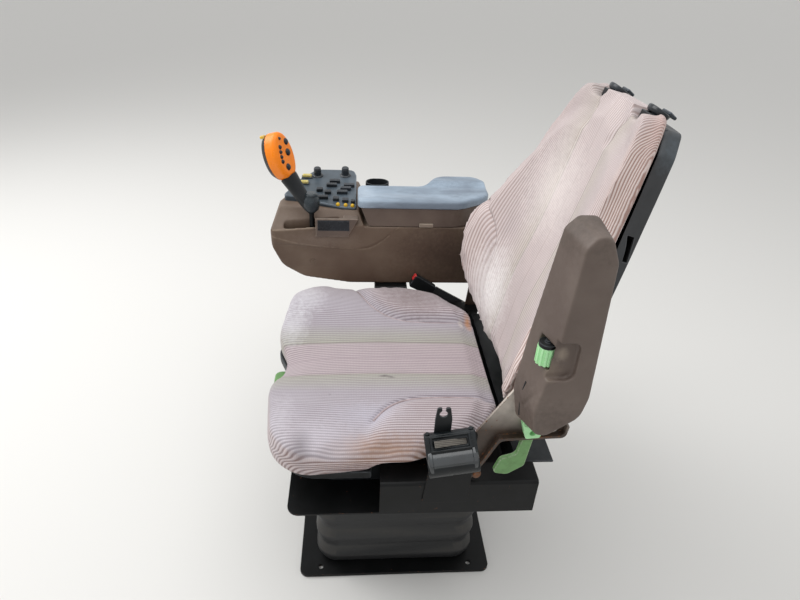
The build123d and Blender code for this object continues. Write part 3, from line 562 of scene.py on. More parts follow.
def new_material(name: str, constants: dict[str, object]) -> tuple[Material, Tree, bpy.types.Node]:
    """Starts a material with its shader's constant values.

    Args:
        name: The material's name.
        constants: Shader input name to the value that is the same all over the surface.

    Returns:
        The material, its tree and its shader node.
    """
    material = bpy.data.materials.new(name)
    material.use_nodes = True
    tree = material.node_tree
    tree.nodes.clear()
    shader = add_node(tree, "BsdfPrincipled", constants)
    add_node(tree, "OutputMaterial", {"Surface": shader.outputs["BSDF"]})
    return material, tree, shader


def vector_step(tree: Tree, operation: str, *inputs: object) -> Socket:
    """One step on vectors or outputs, and its vector, or its number where it gives one."""
    node = add_node(tree, "VectorMath", dict(enumerate(inputs)), operation=operation)
    return node.outputs["Value" if operation in ("LENGTH", "DOT_PRODUCT") else "Vector"]


@dataclass(frozen=True)
class StainAndLightPatch:
    """A soft-edged mark on a surface; some are real stains and some are painted light or shade.

    Attributes:
        place: Its centre.
        reach: Its half size along each axis.
        colour: Its colour.
        share: How strongly it shows.
    """

    place: Point
    reach: Point
    colour: str
    share: float


def laid_stain_and_light_patches(tree: Tree, tone: Socket, stain_and_light_patches: Sequence[StainAndLightPatch]) -> Socket:
    """Lays ragged stains and patches of painted light and shade over a colour, and gives the result's output."""
    if not stain_and_light_patches:
        return tone
    place = object_place(tree)
    ragged = reckon(tree, "MULTIPLY_ADD", noise(tree, 0.009, 4, roughness=0.7), 1.1, -0.5)
    for stain_and_light_patch in stain_and_light_patches:
        offset = vector_step(tree, "SUBTRACT", place, stain_and_light_patch.place)
        away = vector_step(tree, "LENGTH", vector_step(tree, "DIVIDE", offset, stain_and_light_patch.reach))
        mark = spread(tree, reckon(tree, "ADD", away, ragged), 0.15, 1.0, stain_and_light_patch.share, 0.0)
        tone = mixed(tree, mark, tone, stain_and_light_patch.colour)
    return tone


@dataclass(frozen=True)
class MouldedPlastic:
    """ABS or polypropylene moulded in a grained tool: an even dull sheen, dust on top, pale rubbed edges, and painted
    highlight lines where a skin's "edge" attribute is raised for them.
    """

    name: str
    colour: str
    worn_and_highlight: str
    dust: str = "#9A9084"
    grain: float = 2.2 * MM
    grain_depth: float = 0.10 * MM
    roughness: float = 0.55
    dust_share: float = 0.35
    wear_share: float = 0.8
    specular: float = 0.5
    stain_and_light_patches: tuple[StainAndLightPatch, ...] = ()

    def build(self) -> Material:
        """Makes the material."""
        material, tree, shader = new_material(self.name, {"IOR": 1.5, "Specular IOR Level": self.specular})
        fine = noise(tree, 0.012, 4, roughness=0.65)
        tone = mixed(tree, spread(tree, noise(tree, 0.09, 3), 0.3, 0.7, 0.0, 0.32), self.colour, self.worn_and_highlight)
        rubbed_and_highlit = product(tree, attribute(tree, "edge"), spread(tree, fine, 0.32, 0.6, 0.15, self.wear_share))
        tone = mixed(tree, rubbed_and_highlit, tone, self.worn_and_highlight)
        settled = product(tree, spread(tree, facing_up(tree), 0.35, 0.95), spread(tree, fine, 0.35, 0.75, 0.1, 1.0))
        tone = mixed(tree, product(tree, settled, self.dust_share), tone, self.dust)
        tone = laid_stain_and_light_patches(tree, tone, self.stain_and_light_patches)
        shader.inputs["Base Color"].default_value = linear(self.colour)
        pebble = add_node(tree, "TexVoronoi", {"Vector": object_place(tree), "Scale": 1 / self.grain,
                                               "Smoothness": 0.6}, feature="SMOOTH_F1").outputs["Distance"]
        feed(tree, shader, {
            "Base Color": tone,
            "Roughness": spread(tree, fine, 0.3, 0.7, self.roughness - 0.07, self.roughness + 0.1),
            "Normal": bumped(tree, pebble, self.grain_depth, 0.5)})
        return material


@dataclass(frozen=True)
class GlossPlastic:
    """Self-coloured smooth plastic: a soft gloss dulled by handling, with grime in patches."""

    name: str
    colour: str
    grime: str
    roughness: float = 0.32
    grime_share: float = 0.35

    def build(self) -> Material:
        """Makes the material."""
        material, tree, shader = new_material(
            self.name, {"IOR": 1.49, "Coat Weight": 0.1, "Coat Roughness": 0.3, "Specular IOR Level": 0.35})
        smear = noise(tree, 0.014, 4, roughness=0.6)
        spots = noise(tree, 0.004, 3, roughness=0.7)
        edge = attribute(tree, "edge")
        grimy = product(tree, spread(tree, smear, 0.42, 0.72), self.grime_share)
        tone = mixed(tree, grimy, self.colour, self.grime)
        tone = mixed(tree, product(tree, edge, spread(tree, spots, 0.4, 0.7, 0.0, 0.35)), tone, "#E8E4DC")
        feed(tree, shader, {
            "Base Color": tone,
            "Roughness": spread(tree, smear, 0.3, 0.7, self.roughness - 0.06, self.roughness + 0.16),
            "Normal": bumped(tree, spots, 0.05 * MM, 0.4)})
        return material


@dataclass(frozen=True)
class PaintedSteel:
    """Pressed mild steel in baked enamel: chipped to rust at its edges, scuffed and dusty on its faces."""

    name: str
    colour: str
    faded: str
    rust: str = "#5A3A26"
    chips: float = 0.5
    roughness: float = 0.45
    dust: str = "#B3A99D"
    dusty_from: float = 9.0
    specular: float = 0.5

    def build(self) -> Material:
        """Makes the material."""
        material, tree, shader = new_material(self.name, {"IOR": 1.5, "Specular IOR Level": self.specular})
        patch = noise(tree, 0.045, 4, roughness=0.6)
        speck = noise(tree, 0.006, 5, roughness=0.7)
        tone = mixed(tree, spread(tree, patch, 0.3, 0.68), self.colour, self.faded)
        tone = mixed(tree, spread(tree, noise(tree, 0.02, 3, (1, 1, 0.15)), 0.5, 0.75, 0.0, 0.35), tone, self.faded)
        dusty = spread(tree, height_of(tree, object_place(tree)), self.dusty_from, self.dusty_from + 0.06)
        tone = mixed(tree, product(tree, dusty, spread(tree, patch, 0.3, 0.6, 0.45, 0.9)), tone, self.dust)
        exposed = reckon(tree, "MULTIPLY_ADD", attribute(tree, "edge"), 0.28 * self.chips,
                         product(tree, patch, 0.35 * self.chips))
        chipped = spread(tree, reckon(tree, "ADD", exposed, speck), 0.74, 0.80)
        tone = mixed(tree, chipped, tone, mixed(tree, speck, self.rust, "#8A5A38"))
        height = reckon(tree, "SUBTRACT", product(tree, speck, 0.4), chipped)
        feed(tree, shader, {
            "Base Color": tone,
            "Roughness": spread(tree, chipped, 0, 1, self.roughness, 0.85),
            "Normal": bumped(tree, height, 0.15 * MM, 0.6)})
        return material


@dataclass(frozen=True)
class PlatedSteel:
    """Zinc-plated or bare turned steel: bright metal with a fine turned grain and dull spots."""

    name: str
    colour: str = "#B9B6AE"
    tarnish: str = "#7C6F60"
    roughness: float = 0.34
    tarnish_share: float = 0.6

    def build(self) -> Material:
        """Makes the material."""
        material, tree, shader = new_material(self.name, {"Metallic": 1.0})
        spots = noise(tree, 0.007, 5, roughness=0.65)
        dull = spread(tree, spots, 0.45, 0.7, 0.0, self.tarnish_share)
        feed(tree, shader, {
            "Base Color": mixed(tree, dull, self.colour, self.tarnish),
            "Roughness": spread(tree, spots, 0.3, 0.75, self.roughness, 0.65),
            "Normal": bumped(tree, noise(tree, 0.0016, 2, (1, 1, 0.1)), 0.03 * MM, 0.5)})
        return material


@dataclass(frozen=True)
class BootRubber:
    """Moulded black rubber of a bellows: deep matt folds with grey dust on their upper sides."""

    name: str = "moulded_boot_rubber"
    colour: str = "#1B1C1D"
    dust: str = "#5B554C"

    def build(self) -> Material:
        """Makes the material."""
        material, tree, shader = new_material(self.name, {"IOR": 1.52})
        cloud = noise(tree, 0.03, 4, roughness=0.65)
        dusty = product(tree, spread(tree, facing_up(tree), 0.1, 0.8), spread(tree, cloud, 0.3, 0.7, 0.2, 0.8))
        feed(tree, shader, {
            "Base Color": mixed(tree, dusty, self.colour, self.dust),
            "Roughness": spread(tree, dusty, 0, 1, 0.55, 0.9),
            "Normal": bumped(tree, noise(tree, 0.0025, 3), 0.2 * MM, 0.5)})
        return material


@dataclass(frozen=True)
class BeltWebbing:
    """Woven polyester webbing: fine ribs across the strap, dull and a little furred."""

    name: str
    colour: str
    light: str
    rib: float = 2.4 * MM
    direction: Point = (1.0, 0.0, 0.0)

    def build(self) -> Material:
        """Makes the material."""
        material, tree, shader = new_material(self.name, {"IOR": 1.5, "Sheen Weight": 0.15, "Roughness": 0.88})
        ribs = wave(tree, vector_step(tree, "DOT_PRODUCT", object_place(tree), self.direction), self.rib, "SINE")
        fuzz = noise(tree, 0.003, 4)
        feed(tree, shader, {
            "Base Color": mixed(tree, product(tree, ribs, fuzz), self.colour, self.light),
            "Normal": bumped(tree, ribs, 0.3 * MM, 0.8, bumped(tree, fuzz, 0.2 * MM, 0.4))})
        return material


@dataclass(frozen=True)
class GrainedVinyl:
    """Vinyl skin over foam: a fine leather grain, polished blue-grey by the forearm, with a cloudy bloom."""

    name: str = "grained_arm_vinyl"
    colour: str = "#7A8897"
    bloom: str = "#A3B5C6"
    dirt: str = "#5C6066"
    grain: float = 2.6 * MM
    stain_and_light_patches: tuple[StainAndLightPatch, ...] = (
        StainAndLightPatch((-0.38, 0.17, 0.70), (0.10, 0.07, 0.05), "#6B7684", 0.55),
        StainAndLightPatch((-0.43, 0.11, 0.70), (0.05, 0.07, 0.05), "#6B7684", 0.5),
        # The pale patch at the pad's front is a painted highlight.
        StainAndLightPatch((-0.36, -0.07, 0.70), (0.07, 0.03, 0.05), "#C2D0DD", 0.4))

    def build(self) -> Material:
        """Makes the material."""
        material, tree, shader = new_material(self.name, {"IOR": 1.5})
        cloud = noise(tree, 0.07, 3, (1, 0.45, 1))
        streak = noise(tree, 0.016, 4, (1, 0.3, 1), 0.6)
        tone = mixed(tree, spread(tree, cloud, 0.35, 0.65), self.colour, self.bloom)
        tone = mixed(tree, spread(tree, streak, 0.5, 0.78, 0.0, 0.5), tone, self.dirt)
        pebble = add_node(tree, "TexVoronoi", {"Vector": object_place(tree), "Scale": 1 / self.grain})
        feed(tree, shader, {
            "Base Color": laid_stain_and_light_patches(tree, tone, self.stain_and_light_patches),
            "Roughness": spread(tree, streak, 0.3, 0.7, 0.34, 0.52),
            "Normal": bumped(tree, pebble.outputs["Distance"], 0.14 * MM, 0.5)})
        return material


@dataclass(frozen=True)
class KnitCloth:
    """Ribbed knit polyester over foam, faded mauve: fine ribs, pale on top and brown in the stretched sides, the
    brown partly unfaded cloth and partly painted shade.

    The cloth reads the piece's own attributes: rib and run are millimetres across and along the ribs, across is
    millimetres from the middle, bolster is millimetres from the bolster seams, and the attribute for fresh cloth is
    1 where the cloth hasn't faded and where painted shade darkens it.
    """

    name: str
    bands: tuple[tuple[float, str], ...]
    faded_groove: str
    fresh_and_shaded_crest: str
    fresh_and_shaded_groove: str
    seam_at: float
    pitch: float = 5.6
    row_pitch: float = 3.0
    contrast: float = 0.6
    stain_and_light_patches: tuple[StainAndLightPatch, ...] = ()
    band_reach: float = 260.0

    def build(self) -> Material:
        """Makes the material."""
        material, tree, shader = new_material(
            self.name, {"Roughness": 0.93, "Sheen Weight": 0.22, "Sheen Roughness": 0.45, "IOR": 1.45})
        wobble = product(tree, noise(tree, 0.05, 2), 1.2)
        rib = wave(tree, reckon(tree, "ADD", attribute(tree, "rib"), wobble), self.pitch, "COSINE")
        row = wave(tree, attribute(tree, "run"), self.row_pitch, "COSINE")
        across = reckon(tree, "ABSOLUTE", attribute(tree, "across"))
        band = ramp(tree, reckon(tree, "DIVIDE", across, self.band_reach), self.bands)
        cloud = noise(tree, 0.06, 4, roughness=0.6)
        fresh_and_shaded = product(tree, attribute(tree, "fresh_and_shaded"), spread(tree, cloud, 0.3, 0.6, 0.75, 1.0))
        crest = mixed(tree, fresh_and_shaded, band, self.fresh_and_shaded_crest)
        groove = mixed(tree, fresh_and_shaded, mixed(tree, self.contrast, band, self.faded_groove), self.fresh_and_shaded_groove)
        tone = mixed(tree, spread(tree, rib, 0.12, 0.7), groove, crest)
        knots = product(tree, row, rib)
        tone = mixed(tree, product(tree, knots, 0.22), tone, "#E9E2E4")
        tone = mixed(tree, spread(tree, cloud, 0.42, 0.72, 0.0, 0.16), tone, "#8F8488")
        for gap in (reckon(tree, "SUBTRACT", across, self.seam_at), attribute(tree, "bolster")):
            line = spread(tree, reckon(tree, "ABSOLUTE", gap), 0.3, 1.1, 0.6, 0.0)
            tone = mixed(tree, line, tone, "#6E5F60")
        fuzz = bumped(tree, noise(tree, 0.0022, 3), 0.25 * MM, 0.35)
        rows = bumped(tree, knots, 0.3 * MM, 0.6, fuzz)
        feed(tree, shader, {"Base Color": laid_stain_and_light_patches(tree, tone, self.stain_and_light_patches),
                            "Normal": bumped(tree, rib, 0.8 * MM, 0.7, rows)})
        return material


@dataclass(frozen=True)
class PipingCloth:
    """Piping of the same knit, cut on the bias: plain, pale and a little soiled."""

    name: str = "bias_cut_piping_cloth"
    colour: str = "#BFAFB2"
    soiled: str = "#8C7B79"

    def build(self) -> Material:
        """Makes the material."""
        material, tree, shader = new_material(self.name, {"Roughness": 0.9, "Sheen Weight": 0.2})
        cloud = spread(tree, noise(tree, 0.03, 4, roughness=0.6), 0.35, 0.7)
        feed(tree, shader, {"Base Color": mixed(tree, cloud, self.colour, self.soiled),
                            "Normal": bumped(tree, noise(tree, 0.002, 2), 0.2 * MM, 0.5)})
        return material


class Finish(Protocol):
    """Anything that makes one material."""

    def build(self) -> Material:
        """Makes the material."""


FINISHES: dict[str, Finish] = {
    "brown": MouldedPlastic("grained_brown_polypropylene", "#5B483B", "#93826F", dust_share=0.22, stain_and_light_patches=(
        # Painted shade and light: the dark patch at the rear is painted shade, and the paler patches at the front are
        # painted light.
        StainAndLightPatch((-0.30, 0.14, 0.55), (0.2, 0.16, 0.14), "#3C2B20", 0.75),
        StainAndLightPatch((-0.30, -0.20, 0.50), (0.2, 0.10, 0.03), "#6B5748", 0.5),
        StainAndLightPatch((-0.30, -0.26, 0.645), (0.06, 0.06, 0.03), "#7D7066", 0.5),
        StainAndLightPatch((-0.300, -0.162, 0.598), (0.05, 0.10, 0.03), "#857568", 0.6))),
    "lid": MouldedPlastic("grained_lid_polypropylene", "#5A4C44", "#8F8073", dust_share=0.2, stain_and_light_patches=(
        # The dark patch at the lid's rear is painted shade.
        StainAndLightPatch((-0.30, 0.20, 0.65), (0.1, 0.10, 0.05), "#43342B", 0.5),)),
    "worn_brown": MouldedPlastic("rubbed_brown_polypropylene", "#85766A", "#B4A898", dust_share=0.1),
    "armrest": MouldedPlastic("grained_armrest_polyurethane", "#5A4D46", "#84776E", dust_share=0.08, wear_share=0.4,
                              stain_and_light_patches=(
        StainAndLightPatch((0.341, 0.176, 0.750), (0.02, 0.012, 0.016), "#A79A8A", 0.5),
        StainAndLightPatch((0.345, 0.165, 0.725), (0.02, 0.020, 0.020), "#8A7C6C", 0.45),
        # The two dark patches, low on the front and on the top, are painted shade.
        StainAndLightPatch((0.315, 0.172, 0.645), (0.05, 0.06, 0.06), "#33281F", 0.7),
        StainAndLightPatch((0.300, 0.201, 0.905), (0.06, 0.06, 0.045), "#33281F", 0.75))),
    "deck": MouldedPlastic("grained_deck_plastic", "#2A343C", "#74818C", "#66727B", dust_share=0.28, roughness=0.42),
    "black": MouldedPlastic("moulded_black_plastic", "#0C0E0F", "#4A4E52", "#505352", dust_share=0.22, roughness=0.42,
                            specular=0.22),
    # Its pale worn colour stands partly for rubbed edges and partly for painted highlights on them.
    "gloss_black": MouldedPlastic("rubbed_and_highlit_black_switch_plastic", "#0D0F11", "#59616A", "#3E444A", dust_share=0.25,
                                  grain_depth=0.0, roughness=0.26, specular=0.35),
    "retractor": MouldedPlastic("moulded_retractor_housing", "#090B0C", "#343B40", "#3A4349", dust_share=0.25,
                                roughness=0.3, specular=0.3),
    "drum": MouldedPlastic("polished_retractor_drum", "#0C0F11", "#59646B", "#4A545B", dust_share=0.25,
                           grain=0.8 * MM, grain_depth=0.02 * MM, roughness=0.2, specular=0.9, stain_and_light_patches=(
        # A painted highlight along the drum.
        StainAndLightPatch((0.336, 0.051, 0.560), (0.03, 0.035, 0.008), "#A3ADB3", 0.65),)),
    "dome": MouldedPlastic("moulded_dome_plastic", "#0E1315", "#56646D", "#37434A", dust_share=0.3,
                           grain_depth=0.03 * MM, roughness=0.22, specular=0.35),
    "shell": MouldedPlastic("grained_shell_polypropylene", "#1B1C1E", "#4D4F52", "#44484A", dust_share=0.3,
                            roughness=0.5, stain_and_light_patches=(
        StainAndLightPatch((0.15, 0.37, 0.965), (0.06, 0.05, 0.05), "#535E66", 0.6),)),
    "orange": GlossPlastic("moulded_orange_plastic", "#FF8A08", "#D26A14", roughness=0.3, grime_share=0.2),
    "yellow": GlossPlastic("moulded_yellow_plastic", "#E0B526", "#8F7426"),
    "cream": GlossPlastic("moulded_cream_plastic", "#C9B860", "#7F7540"),
    "green": GlossPlastic("moulded_green_plastic", "#6E9A60", "#4A5A3A", roughness=0.4),
    "light_green": GlossPlastic("moulded_light_green_plastic", "#B4EEB2", "#86BD80", roughness=0.35, grime_share=0.2),
    "red": GlossPlastic("moulded_red_plastic", "#D8282C", "#8A2A28"),
    "black_steel": PaintedSteel("enamelled_black_steel", "#050606", "#101112", chips=0.30, specular=0.2),
    "brown_steel": PaintedSteel("enamelled_tan_steel", "#2A1F18", "#4E3F34", rust="#3E2A1E", chips=0.5,
                                dusty_from=0.55, dust="#DDD3C8"),
    "bright_steel": PlatedSteel("turned_bright_steel"),
    "rusty_steel": PaintedSteel("rusted_bolt_steel", "#5A4030", "#6E5140", chips=1.2, roughness=0.7),
    "rubber": BootRubber(),
    "web": BeltWebbing("woven_black_webbing", "#17181A", "#3A3C40", direction=(0.0, 1.0, 0.0)),
    "bar": BeltWebbing("woven_grey_webbing", "#55514C", "#8A857C", direction=(1.0, 0.0, 0.0)),
    "vinyl": GrainedVinyl(),
    "piping": PipingCloth(),
}
BUILT: dict[str, Material] = {}


def material_of(name: str) -> Material:
    """The material of a finish, made when it is first asked for."""
    if name not in BUILT:
        BUILT[name] = FINISHES[name].build()
    return BUILT[name]


# ---- Sub-assemblies ----


@dataclass(frozen=True)
class Dressing:
    """How a CAD node is shown: its finish, slot, and the rounding that its edges get.

    Attributes:
        node: The CAD node.
        body: The body that it rides on.
        finish: A name in FINISHES.
        slot: The record's slot.
        edge: Width of its edges' rounding, in millimetres.
    """

    node: str
    body: str
    finish: str
    slot: Slot
    edge: float = 0.8

    def build(self) -> Piece:
        """Makes the shown piece from the node's own shape."""
        piece = copied_node(self.node, self.node + "_shown")
        soften_edges(piece, self.edge * MM)
        return finish_piece(piece, self.body, self.slot, material_of(self.finish), self.node)


@dataclass(frozen=True)
class Moulding:
    """How a CAD node is shown as one soft moulded skin.

    Attributes:
        node: The CAD node.
        body: The body that it rides on.
        finish: A name in FINISHES.
        slot: The record's slot.
        voxel: Size of the skin's faces, in millimetres.
        rounds: How often the skin is smoothed.
    """

    node: str
    body: str
    finish: str
    slot: Slot
    voxel: float
    rounds: int = 3

    def build(self) -> Piece:
        """Makes the shown piece."""
        piece = moulded_copy(self.node, self.node + "_shown", self.voxel * MM, self.rounds)
        return finish_piece(piece, self.body, self.slot, material_of(self.finish), self.node)


@dataclass(frozen=True)
class HexBolt:
    """A hexagon bolt head on its washer.

    Attributes:
        place: The middle of the washer's seat.
        axis: Where the head points.
        size: Width of the washer, in millimetres.
        finish: A name in FINISHES.
    """

    name: str
    body: str
    place: Point
    axis: Point
    size: float = 20.0
    finish: str = "bright_steel"

    def build(self) -> None:
        """Makes the washer and the head."""
        radius = self.size / 2
        washer = lathe(self.name, ((0, -0.5), (radius, -0.5), (radius, 1.6), (radius - 0.4, 2.0), (0, 2.0)),
                       self.place, self.axis, 28)
        across = radius * 0.70
        head = lathe(self.name + "_head", ((0, 1.8), (across, 1.8), (across, 7.2), (radius * 0.58, 8.2), (0, 8.2)),
                     self.place, self.axis, 6)
        finish_piece(joined([washer, head], self.name), self.body, Slot.BRIGHT_STEEL, material_of(self.finish))


@dataclass(frozen=True)
class Armrest:
    """Raised armrest: one soft moulding with a fold below the recess and a dark slit at its lower front.

    Attributes:
        fold: Points along the fold.
        slit: Points along the slit, in front of the surface that it lies on.
    """

    fold: tuple[Point, ...] = ((0.341, 0.188, 0.714), (0.3485, 0.163, 0.698), (0.3325, 0.152, 0.668),
                               (0.3167, 0.147, 0.6415))
    slit: tuple[Point, ...] = ((0.3112, 0.12, 0.680), (0.3085, 0.12, 0.660), (0.3052, 0.12, 0.636),
                               (0.3012, 0.12, 0.609))

    def build(self) -> None:
        """Makes the moulding and the slit."""
        piece = moulded_copy("armrest", "armrest_shown", 1.6 * MM, 5)
        places, normals = vertex_arrays(piece)
        path = np.array(self.fold)
        gap = np.full(len(places), 1.0)
        for start, end in zip(path[:-1], path[1:]):
            run = end - start
            share = np.clip((places - start) @ run / (run @ run), 0, 1)
            gap = np.minimum(gap, np.linalg.norm(places - start - share[:, None] * run, axis=1))
        places -= normals * (0.0012 * bell(gap, 0.0035))[:, None]
        set_places(piece, places)
        # A painted highlight line along the fold, in the worn colour.
        paint_highlight_line(piece, 0.8 * bell(gap, 0.0018))
        finish_piece(piece, "armrest", Slot.BROWN, material_of("armrest"), "armrest")
        slit = piping("armrest_slit", piece, [Vector(spot) for spot in self.slit], Vector((0, 1, 0)), 0.0014, 0.0002)
        finish_piece(slit, "armrest", Slot.BLACK, material_of("black"))


@dataclass(frozen=True)
class Console:
    """The console's housing with its crease, the bezel on the ledge, the lid with its catch and the arm pad.

    Attributes:
        crease: Corners of the crease on the inner side, as Y and Z.
        ledge: Corners of the ledge's painted highlight line, as Y and Z.
    """

    crease: tuple[Plan, ...] = ((-0.300, 0.6075), (-0.268, 0.599), (-0.214, 0.584), (-0.107, 0.5745), (-0.064, 0.573),
                                (-0.036, 0.588), (0.004, 0.627), (0.018, 0.640))
    ledge: tuple[Plan, ...] = ((-0.282, 0.619), (-0.232, 0.623), (-0.182, 0.628))

    def build(self) -> None:
        """Makes the pieces."""
        self.housing()
        self.bezel()
        self.lid()
        self.pad()

    def housing(self) -> None:
        """The housing's skin, held flat behind the bezel, with a painted highlight line along the crease and the
        ledge.
        """
        piece = moulded_copy("console_body", "console_body_shown", 2.2 * MM, 2)
        places, _ = vertex_arrays(piece)
        proud = (places[:, 0] > -0.3024) & (np.abs(places[:, 1] + 0.141) < 0.06)
        places[proud, 0] = -0.3022
        set_places(piece, places)
        # Painted highlight lines along the crease and the ledge's edge, on the inner side, in the worn colour.
        inner = 0.9 * ease(places[:, 0], -0.312, -0.306)
        paint_highlight_line(piece, inner * bell(side_distance(places[:, 1:], rounded_path(self.crease)), 0.0017))
        before_end = places[:, 1] < self.ledge[-1][0]
        paint_highlight_line(piece, inner * before_end * bell(side_distance(places[:, 1:], rounded_path(self.ledge)), 0.0014))
        finish_piece(piece, "seat", Slot.BROWN, material_of("brown"), "console_body")

    def bezel(self) -> None:
        """The upright bezel on the ledge's inner edge with its blank plate."""
        wall = block("plate_bezel", (6.5, 98, 44), (-0.29975, -0.134, 0.631), edge=1.8, segments=3)
        shoulder = block("bezel_shoulder", (22, 34, 32), (-0.3100, -0.103, 0.6370), edge=2.2, segments=3)
        shelf = block("bezel_foot", (4.0, 100, 5), (-0.2996, -0.134, 0.6095), edge=1.2)
        bezel = joined([wall, shoulder, shelf], "plate_bezel")
        places, _ = vertex_arrays(bezel)
        places[:, 1] -= 0.024 * np.clip((0.653 - places[:, 2]) / 0.044, 0, 1) * (places[:, 1] > -0.112)
        set_places(bezel, places)
        finish_piece(bezel, "seat", Slot.BROWN, material_of("lid"))
        plate = block("blank_plate", (1.4, 72, 25), (-0.2961, -0.142, 0.6365), edge=0.5)
        finish_piece(plate, "seat", Slot.BLACK, material_of("gloss_black"), "console_plate")

    def lid(self) -> None:
        """The lid's box and the rubbed catch on its inner side."""
        piece = moulded_copy("lid_box", "lid_box_shown", 1.6 * MM, 3)
        places, _ = vertex_arrays(piece)
        places[:, 0] = np.minimum(places[:, 0], -0.3040)
        set_places(piece, places)
        finish_piece(piece, "lid", Slot.BROWN, material_of("lid"), "lid_box")
        catch = block("lid_catch", (4.0, 32, 9), (-0.3030, 0.072, 0.6375), edge=1.4, segments=3)
        finish_piece(catch, "lid", Slot.BROWN, material_of("worn_brown"))

    def pad(self) -> None:
        """The arm pad, dished along its middle and humped at its outer rear."""
        piece = moulded_copy("arm_pad", "arm_pad_shown", 2.0 * MM, 6)
        places, normals = vertex_arrays(piece)
        top = ease(normals[:, 2], 0.2, 0.8)
        hump = 0.0075 * ease(-places[:, 0], 0.385, 0.425) * ease(places[:, 1], 0.055, 0.10)
        dish = -0.0020 * bell(places[:, 0] + 0.352, 0.022) * (1 - ease(places[:, 1], 0.10, 0.20))
        places[:, 2] += top * (hump + dish)
        set_places(piece, places)
        finish_piece(piece, "lid", Slot.VINYL, material_of("vinyl"), "arm_pad")


@dataclass(frozen=True)
class Deck:
    """The controls on the deck: knobs with skirts, domed buttons and cream rollers in their wells.

    Attributes:
        slope: The deck's own up.
        skirt: Profile of a knob's skirt, in millimetres as for lathe().
        grip: Profile of a knob's grip.
        dome: Profile of a button.
    """

    slope: Point = (0.147, 0.0, 0.989)
    skirt: tuple[Plan, ...] = ((0, -0.5), (14, -0.5), (14, 1.6), (13, 2.8), (9.8, 4.4), (0, 4.4))
    grip: tuple[Plan, ...] = ((9.4, 4.0), (9.3, 12), (8.7, 20.4), (7.6, 21.8), (0, 21.8))
    dome: tuple[Plan, ...] = ((4.6, -0.5), (4.6, 2.2), (4.2, 3.8), (3.0, 5.2), (1.4, 5.9), (0, 6.0))

    def seats(self, node: str, half_height: float) -> Iterator[tuple[int, Vector]]:
        """Number and place of each control of a CAD node, where it stands on the deck."""
        for number, group in enumerate(islands(node)):
            yield number, Vector((group.min(axis=0) + group.max(axis=0)) / 2) - Vector(self.slope) * half_height

    def build(self) -> None:
        """Makes the controls."""
        up = Vector(self.slope)
        knobs, domes, rollers, wells = [], [], [], []
        for number, base in self.seats("deck_knobs", 0.011):
            knobs.append(lathe(f"deck_knob_skirt_{number}", self.skirt, base, up, 32))
            knobs.append(lathe(f"deck_knob_grip_{number}", self.grip, base, up, 14))
        for number, base in self.seats("deck_buttons", 0.003):
            domes.append(lathe(f"deck_dome_{number}", self.dome, base, up, 24))
        for number, base in self.seats("deck_paddles", 0.007):
            rollers.append(block(f"deck_roller_{number}", (23, 10, 9), base + up * 0.0042, up, 3.2, 4))
            wells.append(block(f"roller_well_{number}", (27, 14, 4), base + up * 0.0012, up, 1.2))
        finish_piece(joined(knobs, "deck_knobs_shown"), "seat", Slot.BLACK, material_of("gloss_black"), "deck_knobs")
        finish_piece(joined(domes, "deck_buttons_shown"), "seat", Slot.YELLOW, material_of("yellow"), "deck_buttons")
        finish_piece(joined(rollers, "deck_paddles_shown"), "seat", Slot.CREAM, material_of("cream"), "deck_paddles")
        finish_piece(joined(wells, "roller_wells"), "seat", Slot.BLACK, material_of("gloss_black"))


@dataclass(frozen=True)
class LeverHead:
    """The lever's controls: domed buttons on the orange face, the thumb switch behind it, and the round boot.

    Attributes:
        centre: The head's middle.
        turn: The face's direction about Z, in degrees.
        tilt: How far the face looks up, in degrees.
        thickness: From the head's middle to its face.
        buttons: Place across and along the face, and radius, in millimetres.
        boot: Profile of the boot.
    """

    centre: Point = (-0.338, -0.268, 0.780)
    turn: float = 63.0
    tilt: float = 18.0
    thickness: float = 0.030
    buttons: tuple[Point, ...] = (
        (13, 27, 6.6), (8, 5, 7.0), (-6, -24, 6.6), (-13, 21, 4.0), (-16, 11, 3.6), (-18, 1, 3.6), (-19, -9, 4.0),
        (-6, 38, 3.2))
    boot: tuple[Plan, ...] = ((0, -0.5), (9, -0.5), (11, 2), (17, 8), (19, 15), (19.4, 24), (18.4, 31), (15.5, 36),
                              (13.4, 40), (13.8, 43), (11, 46), (0, 46.5))

    def build(self) -> None:
        """Makes the pieces."""
        turn, tilt = math.radians(self.turn), math.radians(self.tilt)
        face = Vector((math.cos(turn) * math.cos(tilt), math.sin(turn) * math.cos(tilt), math.sin(tilt)))
        across = Vector((-math.sin(turn), math.cos(turn), 0))
        along = face.cross(across)
        middle = Vector(self.centre) + face * self.thickness
        domes = []
        for number, (u, v, radius) in enumerate(self.buttons):
            spot = middle + (across * u + along * v) * MM
            drop = 1.6 * ((u / 33) ** 2 + (v / 52) ** 2)
            profile = ((radius + 1.0, -4.0), (radius + 1.0, 0.5), (radius, 1.0), (radius * 0.9, 2.6),
                       (radius * 0.6, 3.8), (0, 4.3))
            domes.append(lathe(f"lever_dome_button_{number}", profile, spot - face * drop * MM, face, 24))
        finish_piece(joined(domes, "lever_buttons_shown"), "lever", Slot.BLACK, material_of("gloss_black"),
                     "lever_buttons")
        switch_place = Vector(self.centre) - face * 0.008 - across * 0.010 + along * 0.048
        switch = block("thumb_switch", (9, 12, 7), switch_place, along, 2.0, 3)
        finish_piece(switch, "lever", Slot.YELLOW, material_of("yellow"))
        boot = lathe("lever_dome_shown", self.boot, (-0.314, -0.192, 0.662), (0, 0, 1), 40)
        finish_piece(boot, "lever", Slot.BLACK, material_of("dome"), "lever_dome")


